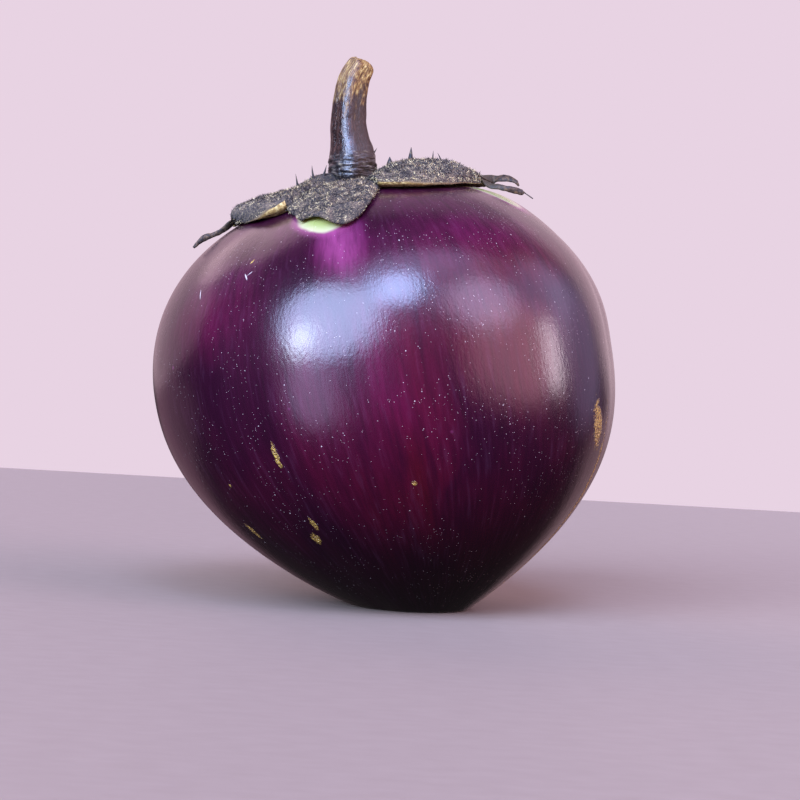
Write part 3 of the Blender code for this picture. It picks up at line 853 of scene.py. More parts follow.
def hair_tree(finish, sizes, area):
    """Short stiff hairs that lie at all angles on the faces named by an attribute."""
    tree, given, target = new_tree("felt_hairs_" + area, sizes)
    share = add(tree, "GeometryNodeInputNamedAttribute", {"Name": area}, data_type="FLOAT")
    density, seed = given["Hairs per square metre"], given["Seed"]
    spread = add(
        tree, "GeometryNodeDistributePointsOnFaces",
        {"Mesh": given["Geometry"], "Selection": share, "Density": density, "Seed": seed},
    ).node
    spike = add(
        tree, "GeometryNodeMeshCone",
        {"Vertices": 3, "Radius Top": 0.0, "Radius Bottom": given["Root radius"], "Depth": given["Length"]},
        output="Mesh",
    )
    swing = add(
        tree, "FunctionNodeRandomValue", {0: (-1.0, -1.0, -1.0), 1: (1.0, 1.0, 1.0), "Seed": HAIR_WAY_SEED},
        data_type="FLOAT_VECTOR",
    )
    upward = add(
        tree, "ShaderNodeVectorMath", {0: spread.outputs["Normal"], "Scale": given["Uprightness"]},
        operation="SCALE",
    )
    way = add(tree, "ShaderNodeVectorMath", [swing, upward], operation="ADD")
    turn = add(tree, "FunctionNodeAlignRotationToVector", {"Vector": way}, axis="Z")
    size = add(
        tree, "FunctionNodeRandomValue", {2: HAIR_SHORTEST, 3: HAIR_LONGEST, "Seed": HAIR_LENGTH_SEED},
        data_type="FLOAT",
    )
    hairs = add(
        tree, "GeometryNodeInstanceOnPoints",
        {"Points": spread.outputs["Points"], "Instance": spike, "Rotation": turn, "Scale": size},
    )
    # hairs are paler towards the margins
    shade = add(tree, "FunctionNodeRandomValue", {2: 0.0, 3: 1.0, "Seed": HAIR_SHADE_SEED}, data_type="FLOAT")
    margin = add(tree, "GeometryNodeInputNamedAttribute", {"Name": "margin"}, data_type="FLOAT")
    shade = add(tree, "ShaderNodeMath", [margin, HAIR_PALER_AT_MARGIN, shade], operation="MULTIPLY_ADD")
    hairs = add(
        tree, "GeometryNodeStoreNamedAttribute", {"Geometry": hairs, "Name": "shade", "Value": shade},
        data_type="FLOAT", domain="INSTANCE",
    )
    end_tree(tree, hairs, finish, target)
    return tree


def build_hairs(name, carrier, area, finish, sizes):
    return grown(name, carrier.data.copy(), hair_tree(finish, sizes, area), sizes)


def prickle_tree(finish, sizes):
    """A curved, tapered spine on each point, by its own way, length, root radius and bend."""
    tree, given, target = new_tree("calyx_prickles", sizes)
    line = add(tree, "GeometryNodeCurvePrimitiveLine", {"Start": (0.0, 0.0, 0.0), "End": (0.0, 0.0, 1.0)})
    line = add(tree, "GeometryNodeResampleCurve", {"Curve": line, "Count": given["Rings"]})
    step = add(tree, "GeometryNodeSplineParameter", output="Factor")
    left = add(tree, "ShaderNodeMath", [1.0, step], operation="SUBTRACT")
    girth = add(tree, "ShaderNodeMath", [left, given["Taper"]], operation="POWER")
    girth = add(tree, "ShaderNodeMath", [girth, given["Thinnest share"]], operation="MAXIMUM")
    ring = add(
        tree, "GeometryNodeCurvePrimitiveCircle", {"Resolution": given["Sides"], "Radius": 1.0},
        output="Curve",
    )
    spine = add(
        tree, "GeometryNodeCurveToMesh",
        {"Curve": line, "Profile Curve": ring, "Scale": girth, "Fill Caps": True},
    )
    way = add(tree, "GeometryNodeInputNamedAttribute", {"Name": "way"}, data_type="FLOAT_VECTOR")
    turn = add(tree, "FunctionNodeAlignRotationToVector", {"Vector": way}, axis="Z")
    size = add(tree, "GeometryNodeInputNamedAttribute", {"Name": "size"}, data_type="FLOAT_VECTOR")
    points = add(tree, "GeometryNodeMeshToPoints", {"Mesh": given["Geometry"]})
    spines = add(
        tree, "GeometryNodeInstanceOnPoints",
        {"Points": points, "Instance": spine, "Rotation": turn, "Scale": size},
    )
    real = add(tree, "GeometryNodeRealizeInstances", [spines])
    # a prickle leans over more and more towards its tip
    up_share = add(tree, "GeometryNodeInputNamedAttribute", {"Name": "bend"}, data_type="FLOAT_VECTOR")
    root = add(tree, "GeometryNodeInputNamedAttribute", {"Name": "root"}, data_type="FLOAT_VECTOR")
    place = add(tree, "GeometryNodeInputPosition")
    reach = add(tree, "ShaderNodeVectorMath", [place, root], output="Value", operation="DISTANCE")
    reach = add(tree, "ShaderNodeMath", [reach, reach], operation="MULTIPLY")
    lean = add(tree, "ShaderNodeVectorMath", {0: up_share, "Scale": reach}, operation="SCALE")
    bent = add(tree, "GeometryNodeSetPosition", {"Geometry": real, "Offset": lean})
    bent = add(tree, "GeometryNodeSetShadeSmooth", {"Geometry": bent})
    end_tree(tree, bent, finish, target)
    return tree


def prickle_points(crown):
    """Root, reach, sideways bend and root radius of each prickle."""
    draw = random.Random(HIDDEN_SEED)
    rows = []
    for azimuth, radius, (x, z), bend, thick in PRICKLES:
        flat = direction(azimuth) * radius
        root = top_of_calyx(crown, flat)
        rows.append((root, Vector((x, PRICKLE_FORWARD, z)), bend, thick))
    for name in HIDDEN_SEPALS:
        for step in range(HIDDEN_PRICKLES):
            along = HIDDEN_FIRST_ALONG + HIDDEN_STEP_ALONG * step
            along += draw.uniform(-HIDDEN_SPREAD_ALONG, HIDDEN_SPREAD_ALONG)
            across = draw.uniform(-HIDDEN_SPREAD_ACROSS, HIDDEN_SPREAD_ACROSS)
            root, normal = sepal_point(crown, name, across, along, depth=1.0)
            lean = Vector([draw.uniform(-HIDDEN_LEAN, HIDDEN_LEAN) for _ in range(3)])
            reach = (normal + lean).normalized() * draw.uniform(*HIDDEN_LENGTHS)
            rows.append((root, reach, draw.uniform(*HIDDEN_BENDS), HIDDEN_ROOT_RADIUS))
    place, (x, z), bend, thick = STEM_PRICKLE
    rows.append((Vector(place), Vector((x, 0.0, z)), bend, thick))
    return rows


def top_of_calyx(crown, flat):
    """The calyx's top over a flat place on the crown, by a ray along the skin's normal."""
    point, normal = crown.at(flat.x, flat.y)
    hit, _, _, _ = crown.calyx.ray_cast(point + normal * PROBE_HEIGHT, -normal)
    return hit if hit is not None else point + normal * BLADE_THICKNESS


def build_prickles(crown, finish):
    mesh = bpy.data.meshes.new("prickle_points")
    rows = prickle_points(crown)
    roots = [root - reach.normalized() * PRICKLE_SINK for root, reach, _, _ in rows]
    mesh.from_pydata(roots, [], [])
    # they bend towards -X and +X in turn
    bends = [bend if i % 2 else -bend for i, (_, _, bend, _) in enumerate(rows)]
    values = {
        "way": [reach.normalized() for _, reach, _, _ in rows],
        "size": [Vector((thick, thick, reach.length + PRICKLE_SINK)) for _, reach, _, thick in rows],
        "root": roots,
        "bend": [Vector((bend / BEND_DISTANCE, 0.0, 0.0)) * BEND_SHARE for bend in bends],
    }
    for name, vectors in values.items():
        layer = mesh.attributes.new(name, "FLOAT_VECTOR", "POINT")
        for item, vector in zip(layer.data, vectors):
            item.vector = vector
    sizes = {"Rings": 14, "Sides": 10, "Taper": 0.8, "Thinnest share": 0.08}
    return grown("calyx_prickles", mesh, prickle_tree(finish, sizes), sizes)


def stem_line(crown):
    """The stem's centre line and radii, from its foot in the crown to its cut end with a round edge."""
    pole, normal = crown.at(0.0, 0.0)
    foot = []
    for height, radius in STEM_FOOT:
        spot = pole + normal * height
        foot.append((spot.x, spot.z, radius))
    line = through([*foot, *STEM_POINTS], STEM_STEPS)
    x, z, radius = line[-1]
    ahead = Vector((x - line[-2][0], z - line[-2][1])).normalized() * STEM_END_ROUNDING
    for step in range(1, STEM_END_STEPS + 1):
        turn = math.pi / 2 * step / STEM_END_STEPS
        narrowed = radius - STEM_END_ROUNDING * (1 - math.cos(turn))
        line.append((x + ahead.x * math.sin(turn), z + ahead.y * math.sin(turn), narrowed))
    return line


def stem_tree(finish, sizes):
    """A tube along the stem's line, with its ridges, bark grain and the scaly rings of its foot."""
    tree, given, target = new_tree("woody_stem", sizes)
    line = add(tree, "GeometryNodeResampleCurve", {"Curve": given["Geometry"], "Count": given["Rings"]})
    step = add(tree, "GeometryNodeSplineParameter", output="Factor")
    line = add(
        tree, "GeometryNodeStoreNamedAttribute", {"Geometry": line, "Name": "along", "Value": step},
        data_type="FLOAT",
    )
    ring = add(
        tree, "GeometryNodeCurvePrimitiveCircle", {"Resolution": given["Sides"], "Radius": 1.0},
        output="Curve",
    )
    place = add(tree, "GeometryNodeInputPosition")
    ring = add(
        tree, "GeometryNodeStoreNamedAttribute", {"Geometry": ring, "Name": "around", "Value": place},
        data_type="FLOAT_VECTOR",
    )
    girth = add(tree, "GeometryNodeInputRadius")
    tube = add(
        tree, "GeometryNodeCurveToMesh",
        {"Curve": line, "Profile Curve": ring, "Scale": girth, "Fill Caps": True},
    )
    around = add(tree, "GeometryNodeInputNamedAttribute", {"Name": "around"}, data_type="FLOAT_VECTOR")
    along = add(tree, "GeometryNodeInputNamedAttribute", {"Name": "along"}, data_type="FLOAT")
    # a crest of the ridges faces the light, which narrows its reflection, and one side is marked as worn
    faced = add(tree, "GeometryNodeInputNormal")
    split = add(tree, "ShaderNodeSeparateXYZ", [faced]).node
    turn = add(tree, "ShaderNodeMath", [split.outputs[1], split.outputs[0]], operation="ARCTAN2")
    worn = add(tree, "ShaderNodeMath", [turn, -math.radians(STEM_WORN_SIDE)], operation="ADD")
    worn = add(tree, "ShaderNodeMath", [worn], operation="COSINE")
    tube = add(
        tree, "GeometryNodeStoreNamedAttribute", {"Geometry": tube, "Name": "worn", "Value": worn},
        data_type="FLOAT",
    )
    phase = -math.radians(STEM_CREST) * STEM_RIDGES
    ridges = add(tree, "ShaderNodeMath", [turn, STEM_RIDGES, phase], operation="MULTIPLY_ADD")
    ridges = add(tree, "ShaderNodeMath", [ridges], operation="COSINE")
    ridges = add(tree, "ShaderNodeMath", [ridges, STEM_RIDGE_DEPTH], operation="MULTIPLY")
    # bark grain: noise drawn out along the stem
    stretch = add(tree, "ShaderNodeMath", [along, 3.0], operation="MULTIPLY")
    stretch = add(tree, "ShaderNodeCombineXYZ", {"Z": stretch})
    grain_place = add(tree, "ShaderNodeVectorMath", [around, stretch], operation="ADD")
    grain = add(tree, "ShaderNodeTexNoise", {"Vector": grain_place, "Scale": 5.0, "Detail": 4.0})
    grain = add(tree, "ShaderNodeMath", [grain, -0.5], operation="ADD")
    relief = add(tree, "ShaderNodeMath", [grain, given["Grain height"], ridges], operation="MULTIPLY_ADD")
    # the foot is ringed with dried scales
    foot = add(tree, "ShaderNodeMapRange", [along, 0.22, 0.42, 1.0, 0.0], interpolation_type="SMOOTHSTEP")
    spot = add(tree, "GeometryNodeInputPosition")
    squash = add(tree, "ShaderNodeVectorMath", [spot, (0.3, 0.3, 1.0)], operation="MULTIPLY")
    scales = add(
        tree, "ShaderNodeTexNoise", {"Vector": squash, "Scale": FOOT_SCALES_PER_METRE, "Detail": 2.0}
    )
    scales = add(tree, "ShaderNodeMath", [scales, -0.5], operation="ADD")
    scales = add(tree, "ShaderNodeMath", [scales, given["Scale height"]], operation="MULTIPLY")
    scales = add(tree, "ShaderNodeMath", [scales, foot], operation="MULTIPLY")
    relief = add(tree, "ShaderNodeMath", [relief, scales], operation="ADD")
    normal = add(tree, "GeometryNodeInputNormal")
    offset = add(tree, "ShaderNodeVectorMath", {0: normal, "Scale": relief}, operation="SCALE")
    shape = add(tree, "GeometryNodeSetPosition", {"Geometry": tube, "Offset": offset})
    shape = add(tree, "GeometryNodeSetShadeSmooth", {"Geometry": shape})
    end_tree(tree, shape, finish, target)
    return tree


def build_stem(crown, finish):
    line = stem_line(crown)
    curve = bpy.data.curves.new("stem_line", "CURVE")
    curve.dimensions = "3D"
    spline = curve.splines.new("POLY")
    spline.points.add(len(line) - 1)
    for point, (x, z, radius) in zip(spline.points, line):
        point.co = (x, 0.0, z, 1.0)
        point.radius = radius
    sizes = {"Rings": STEM_RINGS, "Sides": STEM_SIDES, "Grain height": 0.00025, "Scale height": 0.0014}
    return grown("cut_stem", curve, stem_tree(finish, sizes), sizes)


# Skin colours and markings. Places on the skin are azimuth and the angle from the crown
SKIN_DARK = "2a061b"
SKIN_DEEP = "14060f"
SKIN_MAGENTA = "560a2f"
SKIN_WINE = "480918"
SKIN_VIOLET = "5c1c54"
SKIN_BLUSH = "a04878"
SKIN_BLOOM = "7c5470"
PALE_GREEN = "9ca94a"
PALE_CREAM = "bdbb8a"
SCRATCH = "c9bcb4"
CORK = "dcb24c"
CORK_DARK = "704720"

# Magenta flushes: azimuth, polar angle, half-width and half-height in millimetres, strength
FLUSHES = (
    (-87.0, 96.0, 11.0, 27.0, 1.0),
    (-58.0, 62.0, 20.0, 13.0, 0.8),
    (-97.5, 55.0, 7.0, 14.0, 1.0),
    (-134.0, 70.0, 14.0, 14.0, 0.55),
    (-106.0, 94.0, 10.0, 22.0, 0.65),
    (-98.0, 112.0, 11.0, 13.0, 0.8),
    (-62.0, 86.0, 18.0, 14.0, 0.65),
    (60.0, 80.0, 24.0, 34.0, 0.6),
    (150.0, 84.0, 20.0, 30.0, 0.6),
)

# The blush by the front lobe, in the same terms without a strength
BLUSH = (-97.8, 53.0, 4.7, 11.5)

# Places where the flush ends sharply: azimuth, polar angle, half-width and half-height in mm, strength
SHADES = (
    (-71.5, 122.0, 9.5, 15.0, 0.85),
    (-60.0, 114.0, 12.0, 8.0, 0.4),
    (-126.0, 104.0, 3.0, 16.0, 0.5),
    (-81.0, 49.0, 6.5, 6.0, 0.7),
)

# Pale patches that the calyx had shaded: azimuth and radius on the crown, half-width and half-length in mm,
# turn from the radial direction
PALE_PATCHES = (
    (-103.2, 0.0378, 5.2, 6.6, 62.0),
    (-22.8, 0.0338, 5.1, 8.0, -12.0),
    (84.0, 0.0240, 4.0, 7.0, 0.0),
    (152.0, 0.0250, 4.0, 6.0, 0.0),
)

# Corky scars: azimuth, polar angle, half-width and half-length in millimetres, slant
SCARS = (
    (-120.5, 101.5, 0.70, 2.8, 2.0),
    (-120.5, 117.0, 0.75, 1.6, -10.0),
    (-123.4, 120.6, 1.2, 1.5, 0.0),
    (-147.1, 117.7, 1.0, 2.3, -20.0),
    (-89.1, 110.4, 0.6, 0.5, 0.0),
    (-30.0, 104.5, 2.4, 5.2, -24.0),
    (-140.0, 106.5, 0.4, 0.4, 0.0),
    (-124.0, 54.6, 0.25, 1.0, 40.0),
    (30.0, 112.0, 1.4, 3.4, 12.0),
    (128.0, 96.0, 0.7, 2.6, -8.0),
)
# Pale scratches in the wax, in the same terms
SCRATCHES = (
    (-140.5, 63.0, 0.16, 1.7, -22.0),
    (-124.5, 60.0, 0.20, 1.3, -30.0),
    (-123.5, 59.0, 0.14, 0.9, 50.0),
    (40.0, 70.0, 0.16, 1.6, 20.0),
)
# Specks: cell size, radius, share of the cells that show one where they crowd, strength, colour
SPECKS = (
    (0.00055, 0.00012, 0.60, 0.75, "dcc6bc"),
    (0.0016, 0.00021, 0.35, 0.65, "ead8ce"),
    (0.0075, 0.00075, 0.22, 0.25, "b4548c"),
)
# The corky seam, in the scars' terms, follows one meridian from below the waist to the base
SEAM = (-23.5, 136.0, 0.8, 34.0, 0.0)


def skin_material():
    """Taut waxy skin of a ripe eggplant: dark purple, satin gloss under a thin wax, magenta where it ripened
    in the shade. To the eye it gives broad soft highlights, a fine grain in them, and clear rims."""
    made, tree, shader = new_material("ripe_waxy_eggplant_skin")
    own = add(tree, "ShaderNodeAttribute", output="Vector", attribute_name="own_place")
    grain_place = add(tree, "ShaderNodeAttribute", output="Vector", attribute_name="grain_place")
    skin_map = add(tree, "ShaderNodeUVMap", uv_map="skin_map")
    # the map in metres at the waist, with the azimuth from the seam at the back
    around, down = 2 * math.pi * FRUIT_RADIUS, math.pi * FRUIT_RADIUS
    skin_map = add(tree, "ShaderNodeVectorMath", [skin_map, (around, down, 0.0)], operation="MULTIPLY")

    def spot(azimuth, polar):
        """A place in the skin map, and how much wider the map is there than the skin."""
        share = ((azimuth - SEAM_AT_BACK) % 360.0) / 360.0
        power = CROWN_POWER if polar <= 90.0 else TAPER_RADIAL_POWER
        return (share * around, polar / 180.0 * down, 0.0), math.sin(math.radians(polar)) ** (-2 / power)

    def oval(azimuth, polar, half_width, half_length, slant=0.0):
        """Distance from a place on the skin, 1 at the edge of an oval with half-sizes in millimetres."""
        centre, widened = spot(azimuth, polar)
        half_sizes = (half_width * widened / 1000, half_length / 1000, 1.0)
        return oval_reach(tree, skin_map, centre, (0.0, 0.0, math.radians(slant)), half_sizes)

    # streaks down the meridians, 6, 2.6 and 1.1 mm wide and six times as long, and clouds of 20 mm
    stretched = add(tree, "ShaderNodeVectorMath", [grain_place, (1.0, 1.0, 0.16)], operation="MULTIPLY")
    broad = add(tree, "ShaderNodeTexNoise", {"Vector": stretched, "Scale": 1 / 0.0060, "Detail": 3.0})
    middle = add(tree, "ShaderNodeTexNoise", {"Vector": stretched, "Scale": 1 / 0.0026, "Detail": 3.0})
    fine = add(tree, "ShaderNodeTexNoise", {"Vector": stretched, "Scale": 1 / 0.0011, "Detail": 3.0})
    cloud = add(tree, "ShaderNodeTexNoise", {"Vector": grain_place, "Scale": 1 / 0.020, "Detail": 2.0})

    flush = None
    for azimuth, polar, half_width, half_length, strength in FLUSHES:
        away = oval(azimuth, polar, half_width, half_length)
        away = add(
            tree, "ShaderNodeMapRange", [away, 0.0, 1.6, strength, 0.0], interpolation_type="SMOOTHERSTEP"
        )
        flush = away if flush is None else add(tree, "ShaderNodeMath", [flush, away], operation="MAXIMUM")
    streaked = add(tree, "ShaderNodeMapRange", [broad, 0.30, 0.70, 0.50, 1.30])
    flush = add(tree, "ShaderNodeMath", [flush, streaked], operation="MULTIPLY")
    for azimuth, polar, half_width, half_length, strength in SHADES:
        away = oval(azimuth, polar, half_width, half_length)
        away = add(tree, "ShaderNodeMath", [middle, 0.5, away], operation="MULTIPLY_ADD")
        left = add(
            tree, "ShaderNodeMapRange", [away, 1.15, 1.35, 1.0 - strength, 1.0],
            interpolation_type="SMOOTHSTEP",
        )
        flush = add(tree, "ShaderNodeMath", [flush, left], operation="MULTIPLY")
    clouded = add(tree, "ShaderNodeMapRange", [cloud, 0.30, 0.75, -0.08, 0.30])
    flush = add(tree, "ShaderNodeMath", [flush, clouded], operation="ADD", use_clamp=True)
    split = add(tree, "ShaderNodeSeparateXYZ", [own]).node
    # on the right and below it is redder
    right = add(
        tree, "ShaderNodeMapRange", [split.outputs[0], -0.004, 0.016, 0.0, 1.0],
        interpolation_type="SMOOTHSTEP",
    )
    lower = add(
        tree, "ShaderNodeMapRange", [split.outputs[2], 0.060, 0.030, 0.0, 1.0],
        interpolation_type="SMOOTHSTEP",
    )
    wine = add(tree, "ShaderNodeMath", [right, lower], operation="MAXIMUM")
    wine = add(tree, "ShaderNodeMath", [wine, flush], operation="MULTIPLY")
    # under the calyx's edge it is more violet
    violet = add(tree, "ShaderNodeMapRange", [split.outputs[2], 0.078, 0.098, 0.0, 0.75])
    violet = add(tree, "ShaderNodeMath", [violet, flush], operation="MULTIPLY")
    blush = oval(*BLUSH)
    blush = add(tree, "ShaderNodeMapRange", [blush, 0.0, 1.5, 0.62, 0.0], interpolation_type="SMOOTHSTEP")
    blush = add(tree, "ShaderNodeMath", [blush, streaked], operation="MULTIPLY")
    # near the base it is painted almost black, painted shade of the dim underside over a skin a little darker
    # there, and in the streaks it is darker or, where the wax is milky, paler
    low = add(
        tree, "ShaderNodeMapRange", [split.outputs[2], 0.030, -0.002, 0.0, 0.95],
        interpolation_type="SMOOTHSTEP",
    )
    deep = add(tree, "ShaderNodeMapRange", [fine, 0.45, 0.72, 0.0, 0.35])
    dark = add(tree, "ShaderNodeMapRange", [middle, 0.52, 0.70, 0.0, 0.45])
    milky = add(tree, "ShaderNodeMapRange", [fine, 0.45, 0.25, 0.0, 0.07])
    colour = tint(SKIN_DARK)
    for share, code in (
        (flush, SKIN_MAGENTA),
        (wine, SKIN_WINE),
        (violet, SKIN_VIOLET),
        (blush, SKIN_BLUSH),
        # painted shade: the near-black towards the base
        (low, SKIN_DEEP),
        (deep, SKIN_DEEP),
        (dark, SKIN_DARK),
        (milky, SKIN_BLOOM),
    ):
        colour = add(tree, "ShaderNodeMix", {0: share, 6: colour, 7: tint(code)}, data_type="RGBA", output=2)

    # pale patches by the calyx, in flat places on the crown
    ragged = add(
        tree, "ShaderNodeTexNoise", {"Vector": own, "Scale": 1 / 0.0030, "Detail": 2.0}, output="Color"
    )
    ragged = add(tree, "ShaderNodeVectorMath", [ragged, (-0.5, -0.5, -0.5)], operation="ADD")
    ragged = add(tree, "ShaderNodeVectorMath", {0: ragged, "Scale": 0.0009}, operation="SCALE")
    flat = add(tree, "ShaderNodeVectorMath", [own, (1.0, 1.0, 0.0)], operation="MULTIPLY")
    flat = add(tree, "ShaderNodeVectorMath", [flat, ragged], operation="ADD")
    for azimuth, radius, half_width, half_length, turned in PALE_PATCHES:
        centre = direction(azimuth) * radius
        turns = (0.0, 0.0, math.radians(azimuth + turned))
        half_sizes = (half_length / 1000, half_width / 1000, 1.0)
        away = oval_reach(tree, flat, (centre.x, centre.y, 0.0), turns, half_sizes)
        upper = add(
            tree, "ShaderNodeMapRange", [split.outputs[2], WAIST_HEIGHT, WAIST_HEIGHT + 0.01, 0.0, 1.0]
        )
        fade = add(tree, "ShaderNodeMapRange", [away, 1.35, 0.9, 0.0, 0.6], interpolation_type="SMOOTHSTEP")
        fade = add(tree, "ShaderNodeMath", [fade, upper], operation="MULTIPLY")
        colour = add(
            tree, "ShaderNodeMix", {0: fade, 6: colour, 7: tint(SKIN_BLUSH)}, data_type="RGBA", output=2
        )
        core = add(tree, "ShaderNodeMapRange", [away, 1.05, 0.85, 0.0, 1.0], interpolation_type="SMOOTHSTEP")
        core = add(tree, "ShaderNodeMath", [core, upper], operation="MULTIPLY")
        inner = add(tree, "ShaderNodeMapRange", [away, 0.9, 0.5, 0.0, 0.7])
        pale = add(
            tree, "ShaderNodeMix", {0: inner, 6: tint(PALE_CREAM), 7: tint(PALE_GREEN)},
            data_type="RGBA", output=2,
        )
        colour = add(tree, "ShaderNodeMix", {0: core, 6: colour, 7: pale}, data_type="RGBA", output=2)

    # dust and lenticels, drawn a little coarser than real: specks of up to 0.24 mm in loose clouds, dots of
    # up to 0.42 mm that lie further apart, and some pink blemishes of up to 1.5 mm
    crowd = add(
        tree, "ShaderNodeTexNoise", {"Vector": own, "Scale": 1 / 0.012, "Detail": 3.0, "Roughness": 0.6}
    )
    for cell, radius, share, strength, code in SPECKS:
        places = add(tree, "ShaderNodeTexVoronoi", {"Vector": own, "Scale": 1 / cell}).node
        draws = add(tree, "ShaderNodeSeparateColor", [places.outputs["Color"]]).node
        size = add(
            tree, "ShaderNodeMapRange", [draws.outputs[0], 0.0, 1.0, 0.5 * radius / cell, radius / cell]
        )
        dot = add(
            tree, "ShaderNodeMapRange", {0: places.outputs["Distance"], 1: 0.0, 2: size, 3: 1.6, 4: 0.0}
        )
        shown = add(tree, "ShaderNodeMapRange", [crowd, 0.44, 0.62, 0.06 * share, share])
        shown = add(tree, "ShaderNodeMath", [draws.outputs[1], shown], operation="LESS_THAN")
        dot = add(tree, "ShaderNodeMath", [dot, shown], operation="MULTIPLY")
        dot = add(tree, "ShaderNodeMath", [dot, strength], operation="MULTIPLY", use_clamp=True)
        dot = add(tree, "ShaderNodeMath", [dot, strength], operation="MINIMUM")
        colour = add(tree, "ShaderNodeMix", {0: dot, 6: colour, 7: tint(code)}, data_type="RGBA", output=2)

    # pale scratches, broken up by the fine streaks
    broken = add(tree, "ShaderNodeMapRange", [fine, 0.3, 0.5])
    for azimuth, polar, half_width, half_length, slant in SCRATCHES:
        away = oval(azimuth, polar, half_width, half_length, slant)
        mark = add(tree, "ShaderNodeMapRange", [away, 1.2, 0.6, 0.0, 0.9])
        mark = add(tree, "ShaderNodeMath", [mark, broken], operation="MULTIPLY")
        colour = add(
            tree, "ShaderNodeMix", {0: mark, 6: colour, 7: tint(SCRATCH)}, data_type="RGBA", output=2
        )

    # corky scars and the seam, with ragged edges
    torn = add(
        tree, "ShaderNodeTexNoise", {"Vector": own, "Scale": 1 / 0.0011, "Detail": 4.0, "Roughness": 0.65}
    )
    torn = add(tree, "ShaderNodeMapRange", [torn, 0.25, 0.75, -0.45, 0.45])
    cork = None
    for azimuth, polar, half_width, half_length, slant in (*SCARS, SEAM):
        away = oval(azimuth, polar, half_width, half_length, slant)
        away = add(tree, "ShaderNodeMath", [away, torn], operation="ADD")
        mark = add(tree, "ShaderNodeMapRange", [away, 1.0, 0.72, 0.0, 1.0])
        cork = mark if cork is None else add(tree, "ShaderNodeMath", [cork, mark], operation="MAXIMUM")
    bits = add(tree, "ShaderNodeTexNoise", {"Vector": own, "Scale": 1 / 0.0005, "Detail": 3.0})
    bits = add(tree, "ShaderNodeMapRange", [bits, 0.40, 0.62, 0.0, 1.0])
    corky = add(
        tree, "ShaderNodeMix", {0: bits, 6: tint(CORK_DARK), 7: tint(CORK)}, data_type="RGBA", output=2
    )
    colour = add(tree, "ShaderNodeMix", {0: cork, 6: colour, 7: corky}, data_type="RGBA", output=2)

    # satin where the wax is thin, dull on cork
    roughness = add(tree, "ShaderNodeMapRange", [cloud, 0.3, 0.7, 0.26, 0.32])
    roughness = add(tree, "ShaderNodeMix", {0: cork, 2: roughness, 3: 0.7})

    # wax grain of 0.7 mm, drawn out down the skin, over slower waves of 5 mm
    drawn = add(tree, "ShaderNodeVectorMath", [grain_place, (1.0, 1.0, 0.6)], operation="MULTIPLY")
    wax = add(
        tree, "ShaderNodeTexNoise", {"Vector": drawn, "Scale": 1 / 0.0007, "Detail": 3.0, "Roughness": 0.6}
    )
    waves = add(tree, "ShaderNodeTexNoise", {"Vector": drawn, "Scale": 1 / 0.0050, "Detail": 1.0})
    bump = add(tree, "ShaderNodeBump", {"Strength": 1.0, "Distance": 0.00006, "Height": waves})
    bump = add(tree, "ShaderNodeBump", {"Strength": 1.0, "Distance": 0.00004, "Height": wax, "Normal": bump})
    rough_cork = add(tree, "ShaderNodeMath", [cork, bits], operation="MULTIPLY")
    bump = add(
        tree, "ShaderNodeBump", {"Strength": 1.0, "Distance": 0.0002, "Height": rough_cork, "Normal": bump}
    )
    looks = {
        "Base Color": colour,
        "Roughness": roughness,
        "IOR": 1.45,
        "Specular IOR Level": 0.4,
        "Coat Weight": 0.75,
        "Coat Roughness": 0.12,
        "Coat IOR": 1.45,
        "Normal": bump,
        "Coat Normal": bump,
    }
    feed(tree, shader, looks)
    return made


def felt_material():
    """Dried calyx: leathery tissue under a grey felt of star hairs, which gives a salt-and-pepper grain."""
    made, tree, shader = new_material("dried_calyx_felt")
    place = add(tree, "ShaderNodeTexCoord", output="Object")
    patches = add(tree, "ShaderNodeTexNoise", {"Vector": place, "Scale": 1 / 0.0030, "Detail": 3.0})
    speck = add(
        tree, "ShaderNodeTexNoise", {"Vector": place, "Scale": 1 / 0.00035, "Detail": 3.0, "Roughness": 0.7}
    )
    colour = add(
        tree, "ShaderNodeValToRGB", [patches],
        stops=((0.30, "151110"), (0.50, "372e27"), (0.68, "665543")),
    )
    light = add(tree, "ShaderNodeMapRange", [speck, 0.52, 0.64, 0.0, 0.85])
    dark = add(tree, "ShaderNodeMapRange", [speck, 0.46, 0.34, 0.0, 0.85])
    margin = add(tree, "ShaderNodeAttribute", output="Fac", attribute_name="margin")
    tan = add(tree, "ShaderNodeMapRange", [margin, 0.80, 0.98, 0.0, 0.8])
    # painted shade: the fold's crease is painted nearly black, for the shade that falls in it
    crease = add(tree, "ShaderNodeAttribute", output="Fac", attribute_name="crease")
    crease = add(tree, "ShaderNodeMapRange", [crease, 0.2, 0.9, 0.0, 0.8])
    # round the stem it is darker and smoother between the last hairs
    collar = add(tree, "ShaderNodeAttribute", output="Fac", attribute_name="collar")
    scales = add(tree, "ShaderNodeMapRange", [speck, 0.45, 0.65, 0.9, 0.4])
    collar = add(tree, "ShaderNodeMath", [collar, scales], operation="MULTIPLY")
    for share, code in (
        (light, "988464"), (dark, "0b090a"), (tan, "8f7346"), (crease, "171214"), (collar, "100e10"),
    ):
        colour = add(tree, "ShaderNodeMix", {0: share, 6: colour, 7: tint(code)}, data_type="RGBA", output=2)
    roughness = add(tree, "ShaderNodeMix", {0: collar, 2: 0.9, 3: 0.4})
    bump = add(tree, "ShaderNodeBump", {"Strength": 1.0, "Distance": 0.00015, "Height": speck})
    looks = {
        "Base Color": colour,
        "Roughness": roughness,
        "Sheen Weight": 0.08,
        "Sheen Roughness": 0.5,
        "Normal": bump,
    }
    feed(tree, shader, looks)
    return made


